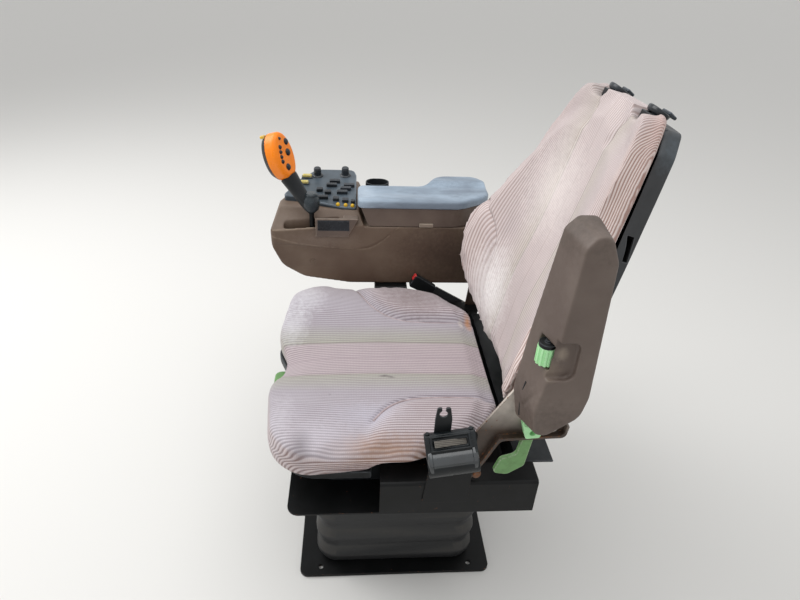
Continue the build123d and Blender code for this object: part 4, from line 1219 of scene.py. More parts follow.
@dataclass(frozen=True)
class Retractor:
    """Belt retractor: a housing with a slot frame on its slope, a polished drum with end rings, and the belt's strip.

    Attributes:
        foot: Where the drum's near end meets the bracket.
        lean: The bracket's angle from upright, in degrees.
        rim: Profile of one end of the drum.
        length: The drum's length, in millimetres.
    """

    foot: Point = (0.287, 0.102, 0.500)
    lean: float = 10.0
    rim: tuple[Plan, ...] = ((0, -0.5), (15, -0.5), (20.5, 0.6), (22.6, 2.4), (23.6, 3.4), (24.0, 5.0), (24.0, 8.2),
                             (22.8, 9.2), (22.6, 12))
    length: float = 78.0

    def spot(self, out: float, up: float, along: float) -> Vector:
        """A place from millimetres out of the bracket, up its rear face and along the drum."""
        angle = math.radians(self.lean)
        return Vector(self.foot) + MM * (out * Vector((1, 0, 0)) + up * Vector((0, -math.sin(angle), math.cos(angle)))
                                         + along * self.axis())

    def axis(self) -> Vector:
        """The drum's axis."""
        angle = math.radians(self.lean)
        return Vector((0, -math.cos(angle), -math.sin(angle)))

    def build(self) -> None:
        """Makes the pieces."""
        axis = self.axis()
        slope = (self.spot(30, 62, 0) - self.spot(16, 76, 0)).normalized()
        bars = [moulded_copy("belt_retractor", "belt_retractor_shown", 1.2 * MM, 3)]
        for number, (out, up) in enumerate(((16.2, 77.8), (30.6, 63.4))):
            bars.append(block(f"slot_frame_{number}", (4.2, 4.2, 62), self.spot(out, up, 39), axis, 1.2))
        for number, along in enumerate((10, 68)):
            bars.append(block(f"slot_end_{number}", (4.6, 4.6, 22), self.spot(23.4, 70.6, along), slope, 1.3))
        for number, along in enumerate((6, 72)):
            bars.append(lathe(f"housing_screw_{number}", ((0, -2), (3.4, -2), (3.4, 0.8), (2.6, 1.6), (0, 1.0)),
                              self.spot(9, 80.3, along), self.spot(0, 1, 0) - self.spot(0, 0, 0), 18))
        finish_piece(joined(bars, "belt_retractor_shown"), "seat", Slot.BLACK, material_of("retractor"),
                     "belt_retractor")
        profile = [*self.rim, *((radius, self.length - height) for radius, height in reversed(self.rim))]
        drum = lathe("retractor_drum", profile, self.spot(24, 38.5, 0), axis, 48)
        finish_piece(drum, "seat", Slot.BLACK, material_of("drum"))
        strip = block("belt_strip", (50, 3.0, 10), self.spot(23.0, 70.2, 39), slope, 0.8)
        finish_piece(strip, "seat", Slot.BAR, material_of("bar"), "belt_webbing")


def simulate_padding(piece: Piece, held: np.ndarray, cap: float, pressure: float = 3.0,
                     frames: int = 20) -> None:
    """Swells a closed shape as foam under its cover, with Cloth under pressure, and keeps the result.

    Args:
        piece: The piece, evenly meshed.
        held: One number per vertex, 1 where it keeps its place.
        cap: The furthest that a point may move.
        pressure: The cloth's inner pressure.
        frames: Length of the simulation.
    """
    start, _ = vertex_arrays(piece)
    weigh(piece, "held", held)
    activate(piece)
    cloth = piece.modifiers.new("Cloth", "CLOTH")
    for name, value in (("quality", 5), ("mass", 0.25), ("tension_stiffness", 12), ("compression_stiffness", 12),
                        ("shear_stiffness", 8), ("bending_stiffness", 8.0), ("use_pressure", True),
                        ("uniform_pressure_force", pressure), ("vertex_group_mass", "held")):
        setattr(cloth.settings, name, value)
    cloth.settings.effector_weights.gravity = 0
    cloth.collision_settings.use_collision = False
    cloth.point_cache.frame_end = frames
    scene = bpy.context.scene
    for number in range(1, frames + 1):
        scene.frame_set(number)
    shown = piece.evaluated_get(bpy.context.evaluated_depsgraph_get())
    moved = np.zeros(len(start) * 3)
    shown.data.vertices.foreach_get("co", moved)
    shift = moved.reshape(-1, 3) - start
    length = np.linalg.norm(shift, axis=1, keepdims=True)
    shift *= np.minimum(1.0, cap / np.maximum(length, 1e-9))
    piece.modifiers.remove(cloth)
    piece.vertex_groups.clear()
    scene.frame_set(1)
    set_places(piece, start + shift)


def piping(name: str, cover: Piece, points: Sequence[Vector], direction: Vector, radius: float,
           sink: float) -> Piece:
    """A thin welt that lies on a cover along a seam.

    Args:
        name: The piece's name.
        cover: The cover that it lies on.
        points: Points over the seam.
        direction: The way from the points towards the cover.
        radius: The welt's radius.
        sink: How far its centre lies inside the cover.

    Returns:
        The welt, as a mesh.
    """
    tree = BVHTree.FromObject(cover, bpy.context.evaluated_depsgraph_get())
    spots = []
    for point in points:
        hit, normal, _, _ = tree.ray_cast(point, direction)
        if hit is not None:
            spots.append(hit - normal * sink)
    curve = bpy.data.curves.new(name, "CURVE")
    curve.dimensions = "3D"
    spline = curve.splines.new("NURBS")
    spline.points.add(len(spots) - 1)
    for control, spot in zip(spline.points, spots):
        control.co = (*spot, 1.0)
    spline.use_endpoint_u = True
    spline.order_u = 4
    spline.resolution_u = 3
    curve.bevel_depth = radius
    curve.bevel_resolution = 2
    curve.use_fill_caps = True
    piece = new_piece(name, curve)
    activate(piece)
    bpy.ops.object.convert(target="MESH")
    smooth(piece, 60)
    return piece


@dataclass
class SeatCushion:
    """Foam seat cushion in ribbed knit, over the black tray that carries it.

    Attributes:
        cut_z: Height of the cover's lower edge at the cushion's front.
        voxel: Size of the cover's faces before they are divided.
        shrink: How much smaller the shape starts before it swells.
        cap: The furthest that the cloth may swell.
        seam_at: Half distance of the two straight seams.
        lift: How far a bolster stands above its seam.
        crown_z: Height that the cover's sides are measured down from.
        edge_rise: How far the cover's lower edge rises from the front to the middle.
        swell: Stand-in for the cloth's swelling; not used.
        near_end: Where the left bolster's seam fades out, in X.
        bolster_seam: Corners, in plan, of the seam of the left bolster.
    """

    cut_z: float = 0.406
    voxel: float = 0.006
    shrink: float = 0.004
    cap: float = 0.009
    seam_at: float = 0.051
    lift: float = 0.014
    crown_z: float = 0.494
    edge_rise: float = 0.036
    swell: float = 0.006
    near_end: Plan = (0.178, 0.215)
    bolster_seam: tuple[Plan, ...] = (
        (0.330, -0.118), (0.292, -0.105), (0.235, -0.082), (0.180, -0.055), (0.148, -0.028), (0.130, 0.005),
        (0.124, 0.050), (0.124, 0.110), (0.128, 0.200))

    def build(self) -> None:
        """Makes the cover, its piping and the tray."""
        cover = self.padded_cover()
        self.sculpt(cover)
        self.mark(cover)
        cloth = KnitCloth(
            "ribbed_knit_seat_cloth",
            bands=((0.0, "#B5A6AA"), (0.185, "#B5A7AA"), (0.20, "#A6A598"), (0.30, "#A9A7A1"), (0.42, "#ADA7AF"),
                   (0.70, "#B6B0B9"), (1.0, "#BEB6BC")),
            faded_groove="#776C72", fresh_and_shaded_crest="#CDBAB6", fresh_and_shaded_groove="#7A5747", seam_at=self.seam_at / MM,
            # Painted light and shade among the marks: the near-white patches at the front (#EDEEF2, #E9E9ED, #CFCBD6,
            # #D8D5DC) are painted light, and the dark patch low on the near side (#5D4C54) is painted shade.
            stain_and_light_patches=(StainAndLightPatch((-0.200, 0.040, 0.480), (0.085, 0.120, 0.06), "#6A5853", 0.72),
                    StainAndLightPatch((-0.200, -0.200, 0.478), (0.090, 0.060, 0.06), "#EDEEF2", 0.55),
                    StainAndLightPatch((0.180, -0.060, 0.485), (0.050, 0.090, 0.05), "#C6C5D4", 0.35),
                    StainAndLightPatch((0.250, -0.179, 0.498), (0.040, 0.026, 0.04), "#544B4D", 0.6),
                    StainAndLightPatch((0.262, -0.083, 0.451), (0.06, 0.120, 0.028), "#5D4C54", 0.75),
                    StainAndLightPatch((0.255, -0.042, 0.494), (0.04, 0.120, 0.026), "#9C7556", 0.6),
                    StainAndLightPatch((-0.118, -0.222, 0.470), (0.085, 0.045, 0.07), "#E9E9ED", 0.5),
                    StainAndLightPatch((0.060, -0.034, 0.484), (0.006, 0.015, 0.03), "#4D4648", 0.7),
                    StainAndLightPatch((0.064, -0.022, 0.484), (0.004, 0.010, 0.03), "#4D4648", 0.6),
                    StainAndLightPatch((0.232, -0.150, 0.478), (0.060, 0.080, 0.05), "#CFCBD6", 0.45),
                    StainAndLightPatch((0.190, -0.215, 0.480), (0.080, 0.030, 0.05), "#D8D5DC", 0.45),
                    StainAndLightPatch((-0.205, -0.122, 0.484), (0.004, 0.004, 0.02), "#2E2A2A", 0.9),
                    StainAndLightPatch((-0.128, 0.158, 0.482), (0.034, 0.012, 0.03), "#C88A52", 0.75),
                    StainAndLightPatch((-0.120, 0.140, 0.484), (0.020, 0.008, 0.03), "#E6DCD2", 0.6),
                    StainAndLightPatch((0.120, -0.137, 0.484), (0.005, 0.004, 0.02), "#5A5356", 0.6)))
        finish_piece(cover, "seat", Slot.FABRIC, cloth.build(), "seat_cushion")
        path = rounded_path(self.bolster_seam)
        for side, side_name, reach in ((1, "left", 0.196), (-1, "right", 0.264)):
            points = [Vector((side * (x - 0.0015), y, 0.6)) for x, y in path if x < reach and y < 0.160]
            welt = piping(f"seat_bolster_piping_{side_name}", cover, points, Vector((0, 0, -1)), 0.0021, 0.0004)
            finish_piece(welt, "seat", Slot.FABRIC, material_of("piping"))
        self.tray()

    def padded_cover(self) -> Piece:
        """The padded shape: the node above the tray, swollen evenly."""
        cover = copied_node("seat_cushion", "seat_cushion_cover")
        cut_level(cover, self.cut_z, keep_above=True)
        apply_modifier(cover, "REMESH", mode="VOXEL", voxel_size=self.voxel)
        places, _ = vertex_arrays(cover)
        share = np.clip((self.crown_z - places[:, 2]) / (self.crown_z - self.cut_z), 0, 1)
        places[:, 2] += share * (self.lower_edge(places[:, 1]) - self.cut_z)
        places[:, :2] *= 1 - 0.035 * ease(share, 0.5, 1.0)[:, None]
        set_places(cover, places)
        apply_modifier(cover, "REMESH", mode="VOXEL", voxel_size=self.voxel)
        apply_modifier(cover, "SMOOTH", factor=0.5, iterations=4)
        apply_modifier(cover, "DISPLACE", strength=-self.shrink, mid_level=0.0)
        places, _ = vertex_arrays(cover)
        rear = ease(places[:, 1], 0.142, 0.167) * 0.5
        above = places[:, 2] - self.lower_edge(places[:, 1])
        held = np.maximum(1 - ease(above, 0.004, 0.018), rear)
        simulate_padding(cover, held, self.cap)
        places, _ = vertex_arrays(cover)
        weigh(cover, "wall", ease(self.crown_z - places[:, 2], 0.008, 0.028))
        apply_modifier(cover, "SMOOTH", factor=0.5, iterations=22, vertex_group="wall")
        apply_modifier(cover, "SUBSURF", levels=1, render_levels=1)
        smooth(cover, 180)
        return cover

    def lower_edge(self, y: np.ndarray) -> np.ndarray:
        """Height of the cover's lower edge, which rises from the front to the middle."""
        return self.cut_z + self.edge_rise * ease(y, -0.22, -0.03)

    def seam_distance(self, places: np.ndarray) -> np.ndarray:
        """Distance of each place from the nearer bolster seam, positive on the bolster's side."""
        plan = np.stack([np.abs(places[:, 0]), places[:, 1]], axis=1)
        return -side_distance(plan, rounded_path(self.bolster_seam))

    def sculpt(self, cover: Piece) -> None:
        """Draws the sewn seams in, raises the bolsters and hollows the front between the thighs."""
        places, normals = vertex_arrays(cover)
        top = ease(normals[:, 2], 0.15, 0.6)
        gap = self.seam_distance(places)
        raised = np.where(gap > 0, self.lift * (1 - bell(gap, 0.018)), 0)
        fade = 1 - ease(np.abs(places[:, 0]), 0.22, 0.285)
        groove = -0.0052 * bell(gap, 0.0042) * (1 - ease(places[:, 0], *self.near_end))
        for seam in (-self.seam_at, self.seam_at):
            groove -= 0.0014 * bell(places[:, 0] - seam, 0.0045)
        valley = -0.007 * bell(places[:, 0], 0.034) * (1 - ease(places[:, 1], -0.23, -0.13))
        lobes = 0.008 * bell(np.abs(places[:, 0]) - 0.19, 0.07) * (1 - ease(places[:, 1], -0.2, -0.03))
        places[:, 2] += top * (raised * fade + groove + valley + lobes)
        set_places(cover, places)
        round_it = np.maximum(ease(places[:, 0], 0.190, 0.225), 1 - ease(places[:, 1], -0.245, -0.215))
        weigh(cover, "rounded", round_it * (1 - ease(self.crown_z - places[:, 2], 0.062, 0.074)))
        apply_modifier(cover, "SMOOTH", factor=0.5, iterations=60, vertex_group="rounded")

    def mark(self, cover: Piece) -> None:
        """Stores where the ribs run, where the cloth is fresh, and where painted shade darkens it and painted light
        keeps it pale.
        """
        places, normals = vertex_arrays(cover)
        sideways = np.maximum(np.abs(places[:, 0]) - 0.150, 0)
        endways = np.maximum(-0.140 - places[:, 1], 0) + np.maximum(places[:, 1] - 0.140, 0)
        share = sideways / (sideways + endways + 0.004)
        drop = np.maximum(0.0, self.crown_z - places[:, 2])
        drop *= ease(drop, 0.008, 0.030)
        near = ease(places[:, 0], 0.10, 0.25)
        set_attribute(cover, "rib", (np.abs(places[:, 0]) + 0.8 * share * drop) / MM)
        set_attribute(cover, "run", (places[:, 1] - (1 - share) * drop) / MM)
        set_attribute(cover, "across", places[:, 0] / MM)
        ended = 0.05 * ease(places[:, 0], *self.near_end)
        gap = self.seam_distance(places)
        set_attribute(cover, "bolster", (gap + np.sign(gap) * ended) / MM)
        # The steep sides are partly unfaded cloth and partly painted shade; shade is painted shade on the bolsters
        # beyond the seams; front keeps the front edge pale as painted light, less so on the near side.
        steep = 1 - ease(normals[:, 2], 0.25, 0.72)
        shade = ease(gap, 0.0, 0.03) * 0.35
        front = 1 - 0.75 * (1 - ease(places[:, 1], -0.235, -0.12)) * (1 - near * 0.6)
        set_attribute(cover, "fresh_and_shaded", np.clip(np.maximum(steep, shade) * front, 0, 1))

    def tray(self) -> None:
        """The black tray under the cushion."""
        tray = copied_node("seat_cushion", "seat_cushion_tray")
        cut_level(tray, 0.440, keep_above=False)
        places, _ = vertex_arrays(tray)
        places[:, 0] *= 0.91
        places[:, 1] = -0.045 + (places[:, 1] + 0.045) * 0.95
        set_places(tray, places)
        soften_edges(tray, 2.5 * MM)
        lip = block("tray_rear_lip", (470, 4, 62), (0, 0.190, 0.4075), edge=1.5)
        shelf = block("tray_rear_shelf", (470, 66, 4), (0, 0.221, 0.4365), edge=1.5)
        finish_piece(joined([tray, lip, shelf], "seat_cushion_tray"), "seat", Slot.BLACK, material_of("black"))


@dataclass
class Backrest:
    """Wrap-round back cushion in ribbed knit, on its grained shell.

    Attributes:
        foot: Where the lean's axis starts.
        lean: Its angle from upright, in degrees.
        curve_r: Radius of the front's curve, in plan.
        pad: Depth of the cushion at the shell's rim.
        height: The cushion's height along the lean.
        voxel: Size of the cover's faces before they are divided.
        shrink: How much smaller the shape starts before it swells.
        cap: The furthest that the cloth may swell.
        seam_at: Half distance of the two straight seams.
        socket_at: Half distance of the two sockets.
        lift: How far a lower bolster stands above its seam.
        swell: Stand-in for the cloth's swelling; not used.
        fan_from: Half distance beyond which the ribs fan out.
        fan_reach: Width that the fanned ribs take up in the cloth as it is cut.
        ear_seam: Corners, in the plan of the back's face, of the seam that bounds the left lower bolster.
    """

    foot: Point = (0.0, 0.192, 0.480)
    lean: float = 14.0
    curve_r: float = 0.425
    pad: float = 0.046
    height: float = 0.548
    voxel: float = 0.006
    shrink: float = 0.005
    cap: float = 0.011
    seam_at: float = 0.053
    socket_at: float = 0.077
    lift: float = 0.007
    swell: float = 0.005
    fan_from: float = 0.060
    fan_reach: float = 0.140
    ear_seam: tuple[Plan, ...] = (
        (0.290, 0.285), (0.250, 0.262), (0.226, 0.246), (0.196, 0.230), (0.168, 0.205), (0.155, 0.172),
        (0.151, 0.130), (0.143, 0.090), (0.134, 0.050), (0.124, 0.015), (0.120, -0.060))

    def build(self) -> None:
        """Makes the cover and dresses the shell and sockets."""
        cover = self.padded_cover()
        self.sculpt(cover)
        self.mark(cover)
        cloth = KnitCloth(
            "ribbed_knit_back_cloth",
            # Painted light: these colours are paler than the seat's same cloth, and the near-white patches (#FFFCFA,
            # #F6EDE9) are painted highlights.
            bands=((0.0, "#D2C5C4"), (0.19, "#D1C4C3"), (0.21, "#C9C1B8"), (0.32, "#CCC2BE"), (0.45, "#CDC0C0"),
                   (1.0, "#CFC2C1")),
            faded_groove="#9C8680", fresh_and_shaded_crest="#ECDAD3", fresh_and_shaded_groove="#A98377", seam_at=self.seam_at / MM,
            stain_and_light_patches=(StainAndLightPatch((0.14, 0.35, 0.98), (0.10, 0.05, 0.10), "#B9958C", 0.5),
                    StainAndLightPatch((-0.117, 0.216, 0.574), (0.11, 0.12, 0.12), "#FFFCFA", 0.75),
                    StainAndLightPatch((-0.052, 0.278, 0.825), (0.12, 0.12, 0.12), "#F6EDE9", 0.5),
                    StainAndLightPatch((-0.10, 0.33, 0.98), (0.10, 0.05, 0.08), "#A89D98", 0.30),
                    StainAndLightPatch((-0.17, 0.17, 0.56), (0.05, 0.05, 0.05), "#A99B9B", 0.30)))
        finish_piece(cover, "backrest", Slot.FABRIC, cloth.build(), "backrest_cushion")
        self.shell()
        for side, side_name in ((1, "left"), (-1, "right")):
            self.guide(side, side_name)

    def axes(self) -> tuple[np.ndarray, np.ndarray]:
        """The directions up the lean and squarely to its rear."""
        angle = math.radians(self.lean)
        return np.array([0, math.sin(angle), math.cos(angle)]), np.array([0, math.cos(angle), -math.sin(angle)])

    def world(self, across: float, deep: float, along: float) -> Vector:
        """A place from its distance across, depth behind the curved front and distance up the lean."""
        up, rear = self.axes()
        front = math.sqrt(self.curve_r ** 2 - across ** 2) - self.curve_r
        return Vector(self.foot) + Vector((across, 0, 0)) + (deep + front) * Vector(rear) + along * Vector(up)

    def guide(self, side: int, side_name: str) -> None:
        """The black guide of one extension socket, a plate across the top with a raised rim round its slot."""
        slope = (Vector(self.axes()[0]) + Vector((0, 0.35, 0))).normalized()
        centre = self.world(side * self.socket_at, 0.040, self.height - 0.005)
        profile = ((0, -7), (14, -7), (16, -5), (17, -1), (17, 1.4), (15.8, 2.6), (9, 2.2), (8, 0.6), (0, 0.4))
        plate = lathe("guide_plate", profile, centre, slope, 36)
        places, _ = vertex_arrays(plate)
        places[:, 0] = centre.x + (places[:, 0] - centre.x) * 1.3
        set_places(plate, places)
        tail = block("guide_tail", (26, 16, 5), centre + Vector((0, 0.017, -0.004)), (0, 0.6, 0.8), 2.0, 3)
        finish_piece(joined([plate, tail], f"socket_guide_{side_name}"), "backrest", Slot.BLACK,
                     material_of("gloss_black"))

    def local(self, places: np.ndarray) -> np.ndarray:
        """Places as across, depth behind the curved front, and distance up the lean."""
        up, rear = self.axes()
        offset = places - np.array(self.foot)
        front = np.sqrt(np.maximum(self.curve_r ** 2 - places[:, 0] ** 2, 0)) - self.curve_r
        return np.stack([places[:, 0], offset @ rear - front, offset @ up], axis=1)

    def padded_cover(self) -> Piece:
        """The padded shape, swollen evenly in front and at its sides and held at its back."""
        cover = copied_node("backrest_cushion", "backrest_cushion_cover")
        apply_modifier(cover, "REMESH", mode="VOXEL", voxel_size=self.voxel)
        places, _ = vertex_arrays(cover)
        own = self.local(places)
        rear = ease(own[:, 1], self.pad - 0.016, self.pad - 0.004)
        weigh(cover, "front", 1 - rear)
        apply_modifier(cover, "SMOOTH", factor=0.5, iterations=6, vertex_group="front")
        places, _ = vertex_arrays(cover)
        own = self.local(places)
        outer = np.abs(own[:, 0]) - self.half_width(own) + own[:, 1]
        shoulder = ease(own[:, 2], 0.16, 0.30) * ease(outer, -0.07, -0.03) * (1 - ease(own[:, 1], 0.024, 0.036))
        weigh(cover, "shoulder", shoulder)
        apply_modifier(cover, "SMOOTH", factor=0.5, iterations=45, vertex_group="shoulder")
        apply_modifier(cover, "DISPLACE", strength=-self.shrink, mid_level=0.0, vertex_group="front")
        socket = np.hypot(np.abs(own[:, 0]) - self.socket_at, own[:, 2] - (self.height - 0.02))
        simulate_padding(cover, np.maximum(rear, 1 - ease(socket, 0.018, 0.04)), self.cap)
        apply_modifier(cover, "SUBSURF", levels=1, render_levels=1)
        smooth(cover, 180)
        return cover

    def ear_distance(self, own: np.ndarray) -> np.ndarray:
        """Distance of each place from the nearer ear seam, positive on the ear's side."""
        plan = np.stack([np.abs(own[:, 0]), own[:, 2]], axis=1)
        return side_distance(plan, rounded_path(self.ear_seam))

    def seam_across(self, own: np.ndarray) -> np.ndarray:
        """Across, bent so that the straight seams turn outwards to the sockets at the top."""
        bend = 0.016 * ease(own[:, 2], self.height - 0.05, self.height - 0.012)
        return own[:, 0] - np.sign(own[:, 0]) * bend * bell(np.abs(own[:, 0]) - 0.06, 0.03)

    def half_width(self, own: np.ndarray) -> np.ndarray:
        """Half width of the cushion at each place's height, held above its shoulders."""
        half, along = np.abs(own[:, 0]), own[:, 2]
        levels = np.arange(along.min() + 0.012, self.height - 0.050, 0.012)
        widths = np.array([half[np.abs(along - level) < 0.008].max() for level in levels])
        return np.polyval(np.polyfit(levels, widths, 5), np.clip(along, levels[0], levels[-1]))

    def sculpt(self, cover: Piece) -> None:
        """Draws the seams in and raises the lower bolsters."""
        places, normals = vertex_arrays(cover)
        own = self.local(places)
        up, rear = self.axes()
        facing = ease(normals @ -rear, 0.1, 0.55)
        gap = self.ear_distance(own)
        raised = np.where(gap > 0, self.lift * (1 - bell(gap, 0.016)), 0)
        groove = -0.0042 * bell(gap, 0.0045)
        across = self.seam_across(own)
        for seam in (-self.seam_at, self.seam_at):
            groove -= 0.0012 * bell(across - seam, 0.004)
        side_roll = 0.006 * bell(np.abs(own[:, 0]) - 0.20, 0.04) * ease(own[:, 2], 0.15, 0.3)
        lumbar = 0.009 * bell(own[:, 2] - 0.17, 0.09) * bell(own[:, 0], 0.11, 4)
        places += (facing * (raised + groove + side_roll + lumbar))[:, None] * -rear
        pinch = bell(np.abs(own[:, 0]) - self.socket_at, 0.021, 4)
        excess = np.maximum(own[:, 2] - (self.height - 0.019 + 0.03 * (1 - pinch)), 0) * pinch
        places -= excess[:, None] * up
        set_places(cover, places)

    def mark(self, cover: Piece) -> None:
        """Stores where the ribs run, where the cloth is fresh, and where painted shade darkens it."""
        places, normals = vertex_arrays(cover)
        own = self.local(places)
        upward = np.abs(normals @ self.axes()[0])
        deep = np.maximum(own[:, 1], 0.0)
        ear_gap = self.ear_distance(own)
        half, width = np.abs(own[:, 0]), self.half_width(own)
        sideways = np.maximum(half - (width - 0.045), 0)
        share = sideways / (sideways + np.maximum(own[:, 2] - (self.height - 0.05), 0) + 0.003)
        fan = self.fan_from + (half - self.fan_from) * self.fan_reach / (width - self.fan_from)
        set_attribute(cover, "rib", (np.where(half > self.fan_from, fan, half) + share * deep) / MM)
        set_attribute(cover, "run", (own[:, 2] - (1 - share) * deep) / MM)
        set_attribute(cover, "across", self.seam_across(own) / MM)
        set_attribute(cover, "bolster", ear_gap / MM)
        # Painted shade: the cloth takes more of the darker fresh colours on the near side and less on upward faces,
        # on top of the unfaded cloth of the sides.
        near = 0.45 + 0.55 * ease(own[:, 0], -0.05, 0.05)
        outer = half - width + deep
        side = ease(outer, -0.030, 0.010) * 0.9 * near * (1 - 0.5 * ease(upward, 0.3, 0.7))
        ear = ease(ear_gap, 0.0, 0.03) * 0.65 * near
        upper = ease(half, 0.10, 0.2) * 0.35 * near
        set_attribute(cover, "fresh_and_shaded", np.clip(np.maximum(np.maximum(side, ear), upper), 0, 1))

    def shell(self) -> None:
        """The shell, its rim drawn a little out to the front and its back to the rear."""
        piece = copied_node("backrest_shell", "backrest_shell_shown")
        soften_edges(piece, 1.0 * MM)
        places, _ = vertex_arrays(piece)
        own = self.local(places)
        extra = 0.008 * ease(own[:, 1], self.pad + 0.004, self.pad + 0.016)
        extra -= 0.007 * (1 - ease(own[:, 1], self.pad + 0.001, self.pad + 0.003))
        places += extra[:, None] * self.axes()[1]
        set_places(piece, places)
        finish_piece(piece, "backrest", Slot.SHELL, material_of("shell"), "backrest_shell")


@dataclass(frozen=True)
class Studio:
    """Pale floor, soft light from the front and above, and the photograph's camera.

    Attributes:
        camera_place: Where the camera stands.
        tilt: How far it looks down, in degrees.
        yaw: How far it looks to the seat's rear, in degrees.
        roll: How far it is turned about its own axis, in degrees.
        focal_pixels: Its focal length, in the photograph's pixels.
    """

    camera_place: Point = (0.928, -0.092, 1.194)
    tilt: float = 31.6
    yaw: float = 5.2
    roll: float = 3.0
    focal_pixels: float = 580.0

    def build(self) -> None:
        """Makes the camera, lights, floor and world."""
        self.camera()
        self.lights()
        bpy.context.scene.view_settings.view_transform = "Standard"

    def camera(self) -> None:
        """A camera that looks along -X, tilted down."""
        tilt, yaw, roll = (math.radians(a) for a in (self.tilt, self.yaw, self.roll))
        ahead, right, up = Vector((-1, 0, 0)), Vector((0, 1, 0)), Vector((0, 0, 1))
        turned = ahead * math.cos(yaw) + right * math.sin(yaw)
        right = right * math.cos(yaw) - ahead * math.sin(yaw)
        ahead = turned * math.cos(tilt) - up * math.sin(tilt)
        up = up * math.cos(tilt) + turned * math.sin(tilt)
        rolled_right = right * math.cos(roll) + up * math.sin(roll)
        rolled_up = up * math.cos(roll) - right * math.sin(roll)
        data = bpy.data.cameras.new("photo_camera")
        data.sensor_width = 36.0
        data.lens = self.focal_pixels / PHOTO_WIDTH * data.sensor_width
        data.clip_end = 200.0
        camera = new_piece("photo_camera", data)
        camera.matrix_world = Matrix((
            (rolled_right.x, rolled_up.x, -ahead.x, self.camera_place[0]),
            (rolled_right.y, rolled_up.y, -ahead.y, self.camera_place[1]),
            (rolled_right.z, rolled_up.z, -ahead.z, self.camera_place[2]),
            (0, 0, 0, 1)))
        bpy.context.scene.camera = camera

    def lights(self) -> None:
        """Soft area lights, a pale even world and a white floor."""
        for name, place, power, size in (("front_window_light", (-0.9, -2.4, 2.6), 62.0, 2.2),
                                         ("roof_light", (0.3, 0.1, 3.2), 30.0, 2.6)):
            data = bpy.data.lights.new(name, "AREA")
            data.energy = power
            data.size = size
            lamp = new_piece(name, data)
            lamp.location = place
            lamp.rotation_mode = "QUATERNION"
            lamp.rotation_quaternion = (Vector((0, 0.05, 0.5)) - Vector(place)).to_track_quat("-Z", "Y")
        world = bpy.data.worlds.new("pale_world")
        bpy.context.scene.world = world
        world.use_nodes = True
        tree = world.node_tree
        tree.nodes.clear()
        path = add_node(tree, "LightPath")
        seen = reckon(tree, "MAXIMUM", path.outputs["Is Camera Ray"], path.outputs["Is Glossy Ray"])
        strength = spread(tree, seen, 0, 1, 0.62, 0.95)
        background = add_node(tree, "Background", {"Color": (1.0, 1.0, 1.0, 1.0), "Strength": strength})
        add_node(tree, "OutputWorld", {"Surface": background.outputs["Background"]})
        deselect_all()
        bpy.ops.mesh.primitive_plane_add(size=60.0)
        floor = bpy.context.active_object
        floor.name = "studio_floor"
        material, _, _ = new_material("matt_white_floor", {"Roughness": 0.9, "Base Color": linear("#E4E3E0")})
        floor.data.materials.append(material)


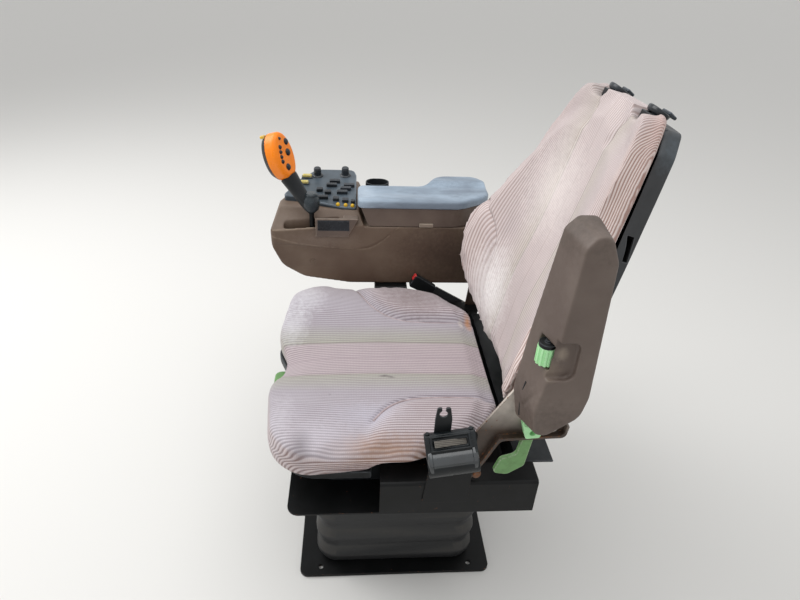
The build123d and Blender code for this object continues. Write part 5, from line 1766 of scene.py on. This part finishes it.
MOULDINGS = (
    Moulding("lever_head", "lever", "orange", Slot.ORANGE, 1.4, 3),
    Moulding("deck_rockers", "seat", "gloss_black", Slot.BLACK, 0.8, 8),
)
BOLTS = (
    HexBolt("bracket_bolt", "seat", (0.2795, 0.106, 0.462), (1.0, -0.1, 0.35), 17, "rusty_steel"),
    HexBolt("console_arm_bolt_front", "seat", (-0.290, -0.024, 0.402), (-1, 0, 0), 18),
    HexBolt("console_arm_bolt_rear", "seat", (-0.290, 0.014, 0.402), (-1, 0, 0), 18),
)
DRESSINGS = (
    Dressing("floor_plate", "base", "black_steel", Slot.BLACK_STEEL, 1.0),
    Dressing("suspension_boot", "base", "rubber", Slot.RUBBER, 6.0),
    Dressing("upper_pan", "base", "black_steel", Slot.BLACK_STEEL, 1.2),
    Dressing("slide_rail_left", "base", "black_steel", Slot.BLACK_STEEL, 0.7),
    Dressing("slide_rail_right", "base", "black_steel", Slot.BLACK_STEEL, 0.7),
    Dressing("slide_runner_left", "seat", "bright_steel", Slot.BRIGHT_STEEL, 0.6),
    Dressing("slide_runner_right", "seat", "bright_steel", Slot.BRIGHT_STEEL, 0.6),
    Dressing("seat_frame", "seat", "black_steel", Slot.BLACK_STEEL, 0.7),
    Dressing("slide_handle", "seat", "green", Slot.GREEN, 2.0),
    Dressing("extension_sockets", "backrest", "black", Slot.BLACK, 1.0),
    Dressing("recline_ear_left", "backrest", "black_steel", Slot.BLACK_STEEL, 0.8),
    Dressing("recline_ear_right", "backrest", "black_steel", Slot.BLACK_STEEL, 0.8),
    Dressing("side_bracket_left", "seat", "brown_steel", Slot.BROWN_STEEL, 1.2),
    Dressing("side_bracket_right", "seat", "brown_steel", Slot.BROWN_STEEL, 1.0),
    Dressing("recline_pin_left", "seat", "bright_steel", Slot.BRIGHT_STEEL, 0.8),
    Dressing("recline_pin_right", "seat", "bright_steel", Slot.BRIGHT_STEEL, 0.8),
    Dressing("recline_paddle", "seat", "green", Slot.GREEN, 2.0),
    Dressing("wedge_knob", "seat", "light_green", Slot.GREEN, 1.2),
    Dressing("armrest_wheel", "armrest", "light_green", Slot.GREEN, 0.8),
    Dressing("wheel_cap", "armrest", "black", Slot.BLACK, 1.0),
    Dressing("armrest_pin", "seat", "bright_steel", Slot.BRIGHT_STEEL, 0.8),
    Dressing("retractor_bracket", "seat", "black_steel", Slot.BLACK_STEEL, 0.7),
    Dressing("belt_tongue", "seat", "black", Slot.BLACK, 0.8),
    Dressing("buckle_body", "seat", "black", Slot.BLACK, 1.6),
    Dressing("buckle_button", "seat", "red", Slot.RED, 1.0),
    Dressing("buckle_strap", "seat", "web", Slot.WEB, 0.8),
    Dressing("buckle_anchor_plate", "seat", "bright_steel", Slot.BRIGHT_STEEL, 0.8),
    Dressing("console_arm", "seat", "black_steel", Slot.BLACK_STEEL, 0.8),
    Dressing("lever_pin", "seat", "brown", Slot.BRIGHT_STEEL, 0.5),
    Dressing("switch_deck", "seat", "deck", Slot.DECK, 1.0),
    Dressing("console_cup", "seat", "black", Slot.BLACK, 0.8),
    Dressing("lid_pin", "seat", "bright_steel", Slot.BRIGHT_STEEL, 0.5),
    Dressing("lever_stem", "lever", "black_steel", Slot.BRIGHT_STEEL, 0.6),
    Dressing("lever_stalk", "lever", "black", Slot.BLACK, 0.8),
    Dressing("lever_head_back", "lever", "black", Slot.BLACK, 1.2),
)


def main() -> None:
    """Builds the scene in order."""
    logging.basicConfig(level=logging.INFO, format="%(message)s")
    Studio().build()
    for dressing in DRESSINGS:
        dressing.build()
    for moulding in MOULDINGS:
        moulding.build()
    for bolt in BOLTS:
        bolt.build()
    for assembly in (Armrest(), Console(), Deck(), LeverHead(), Retractor()):
        assembly.build()
    SeatCushion().build()
    Backrest().build()


if __name__ == "__main__":
    main()
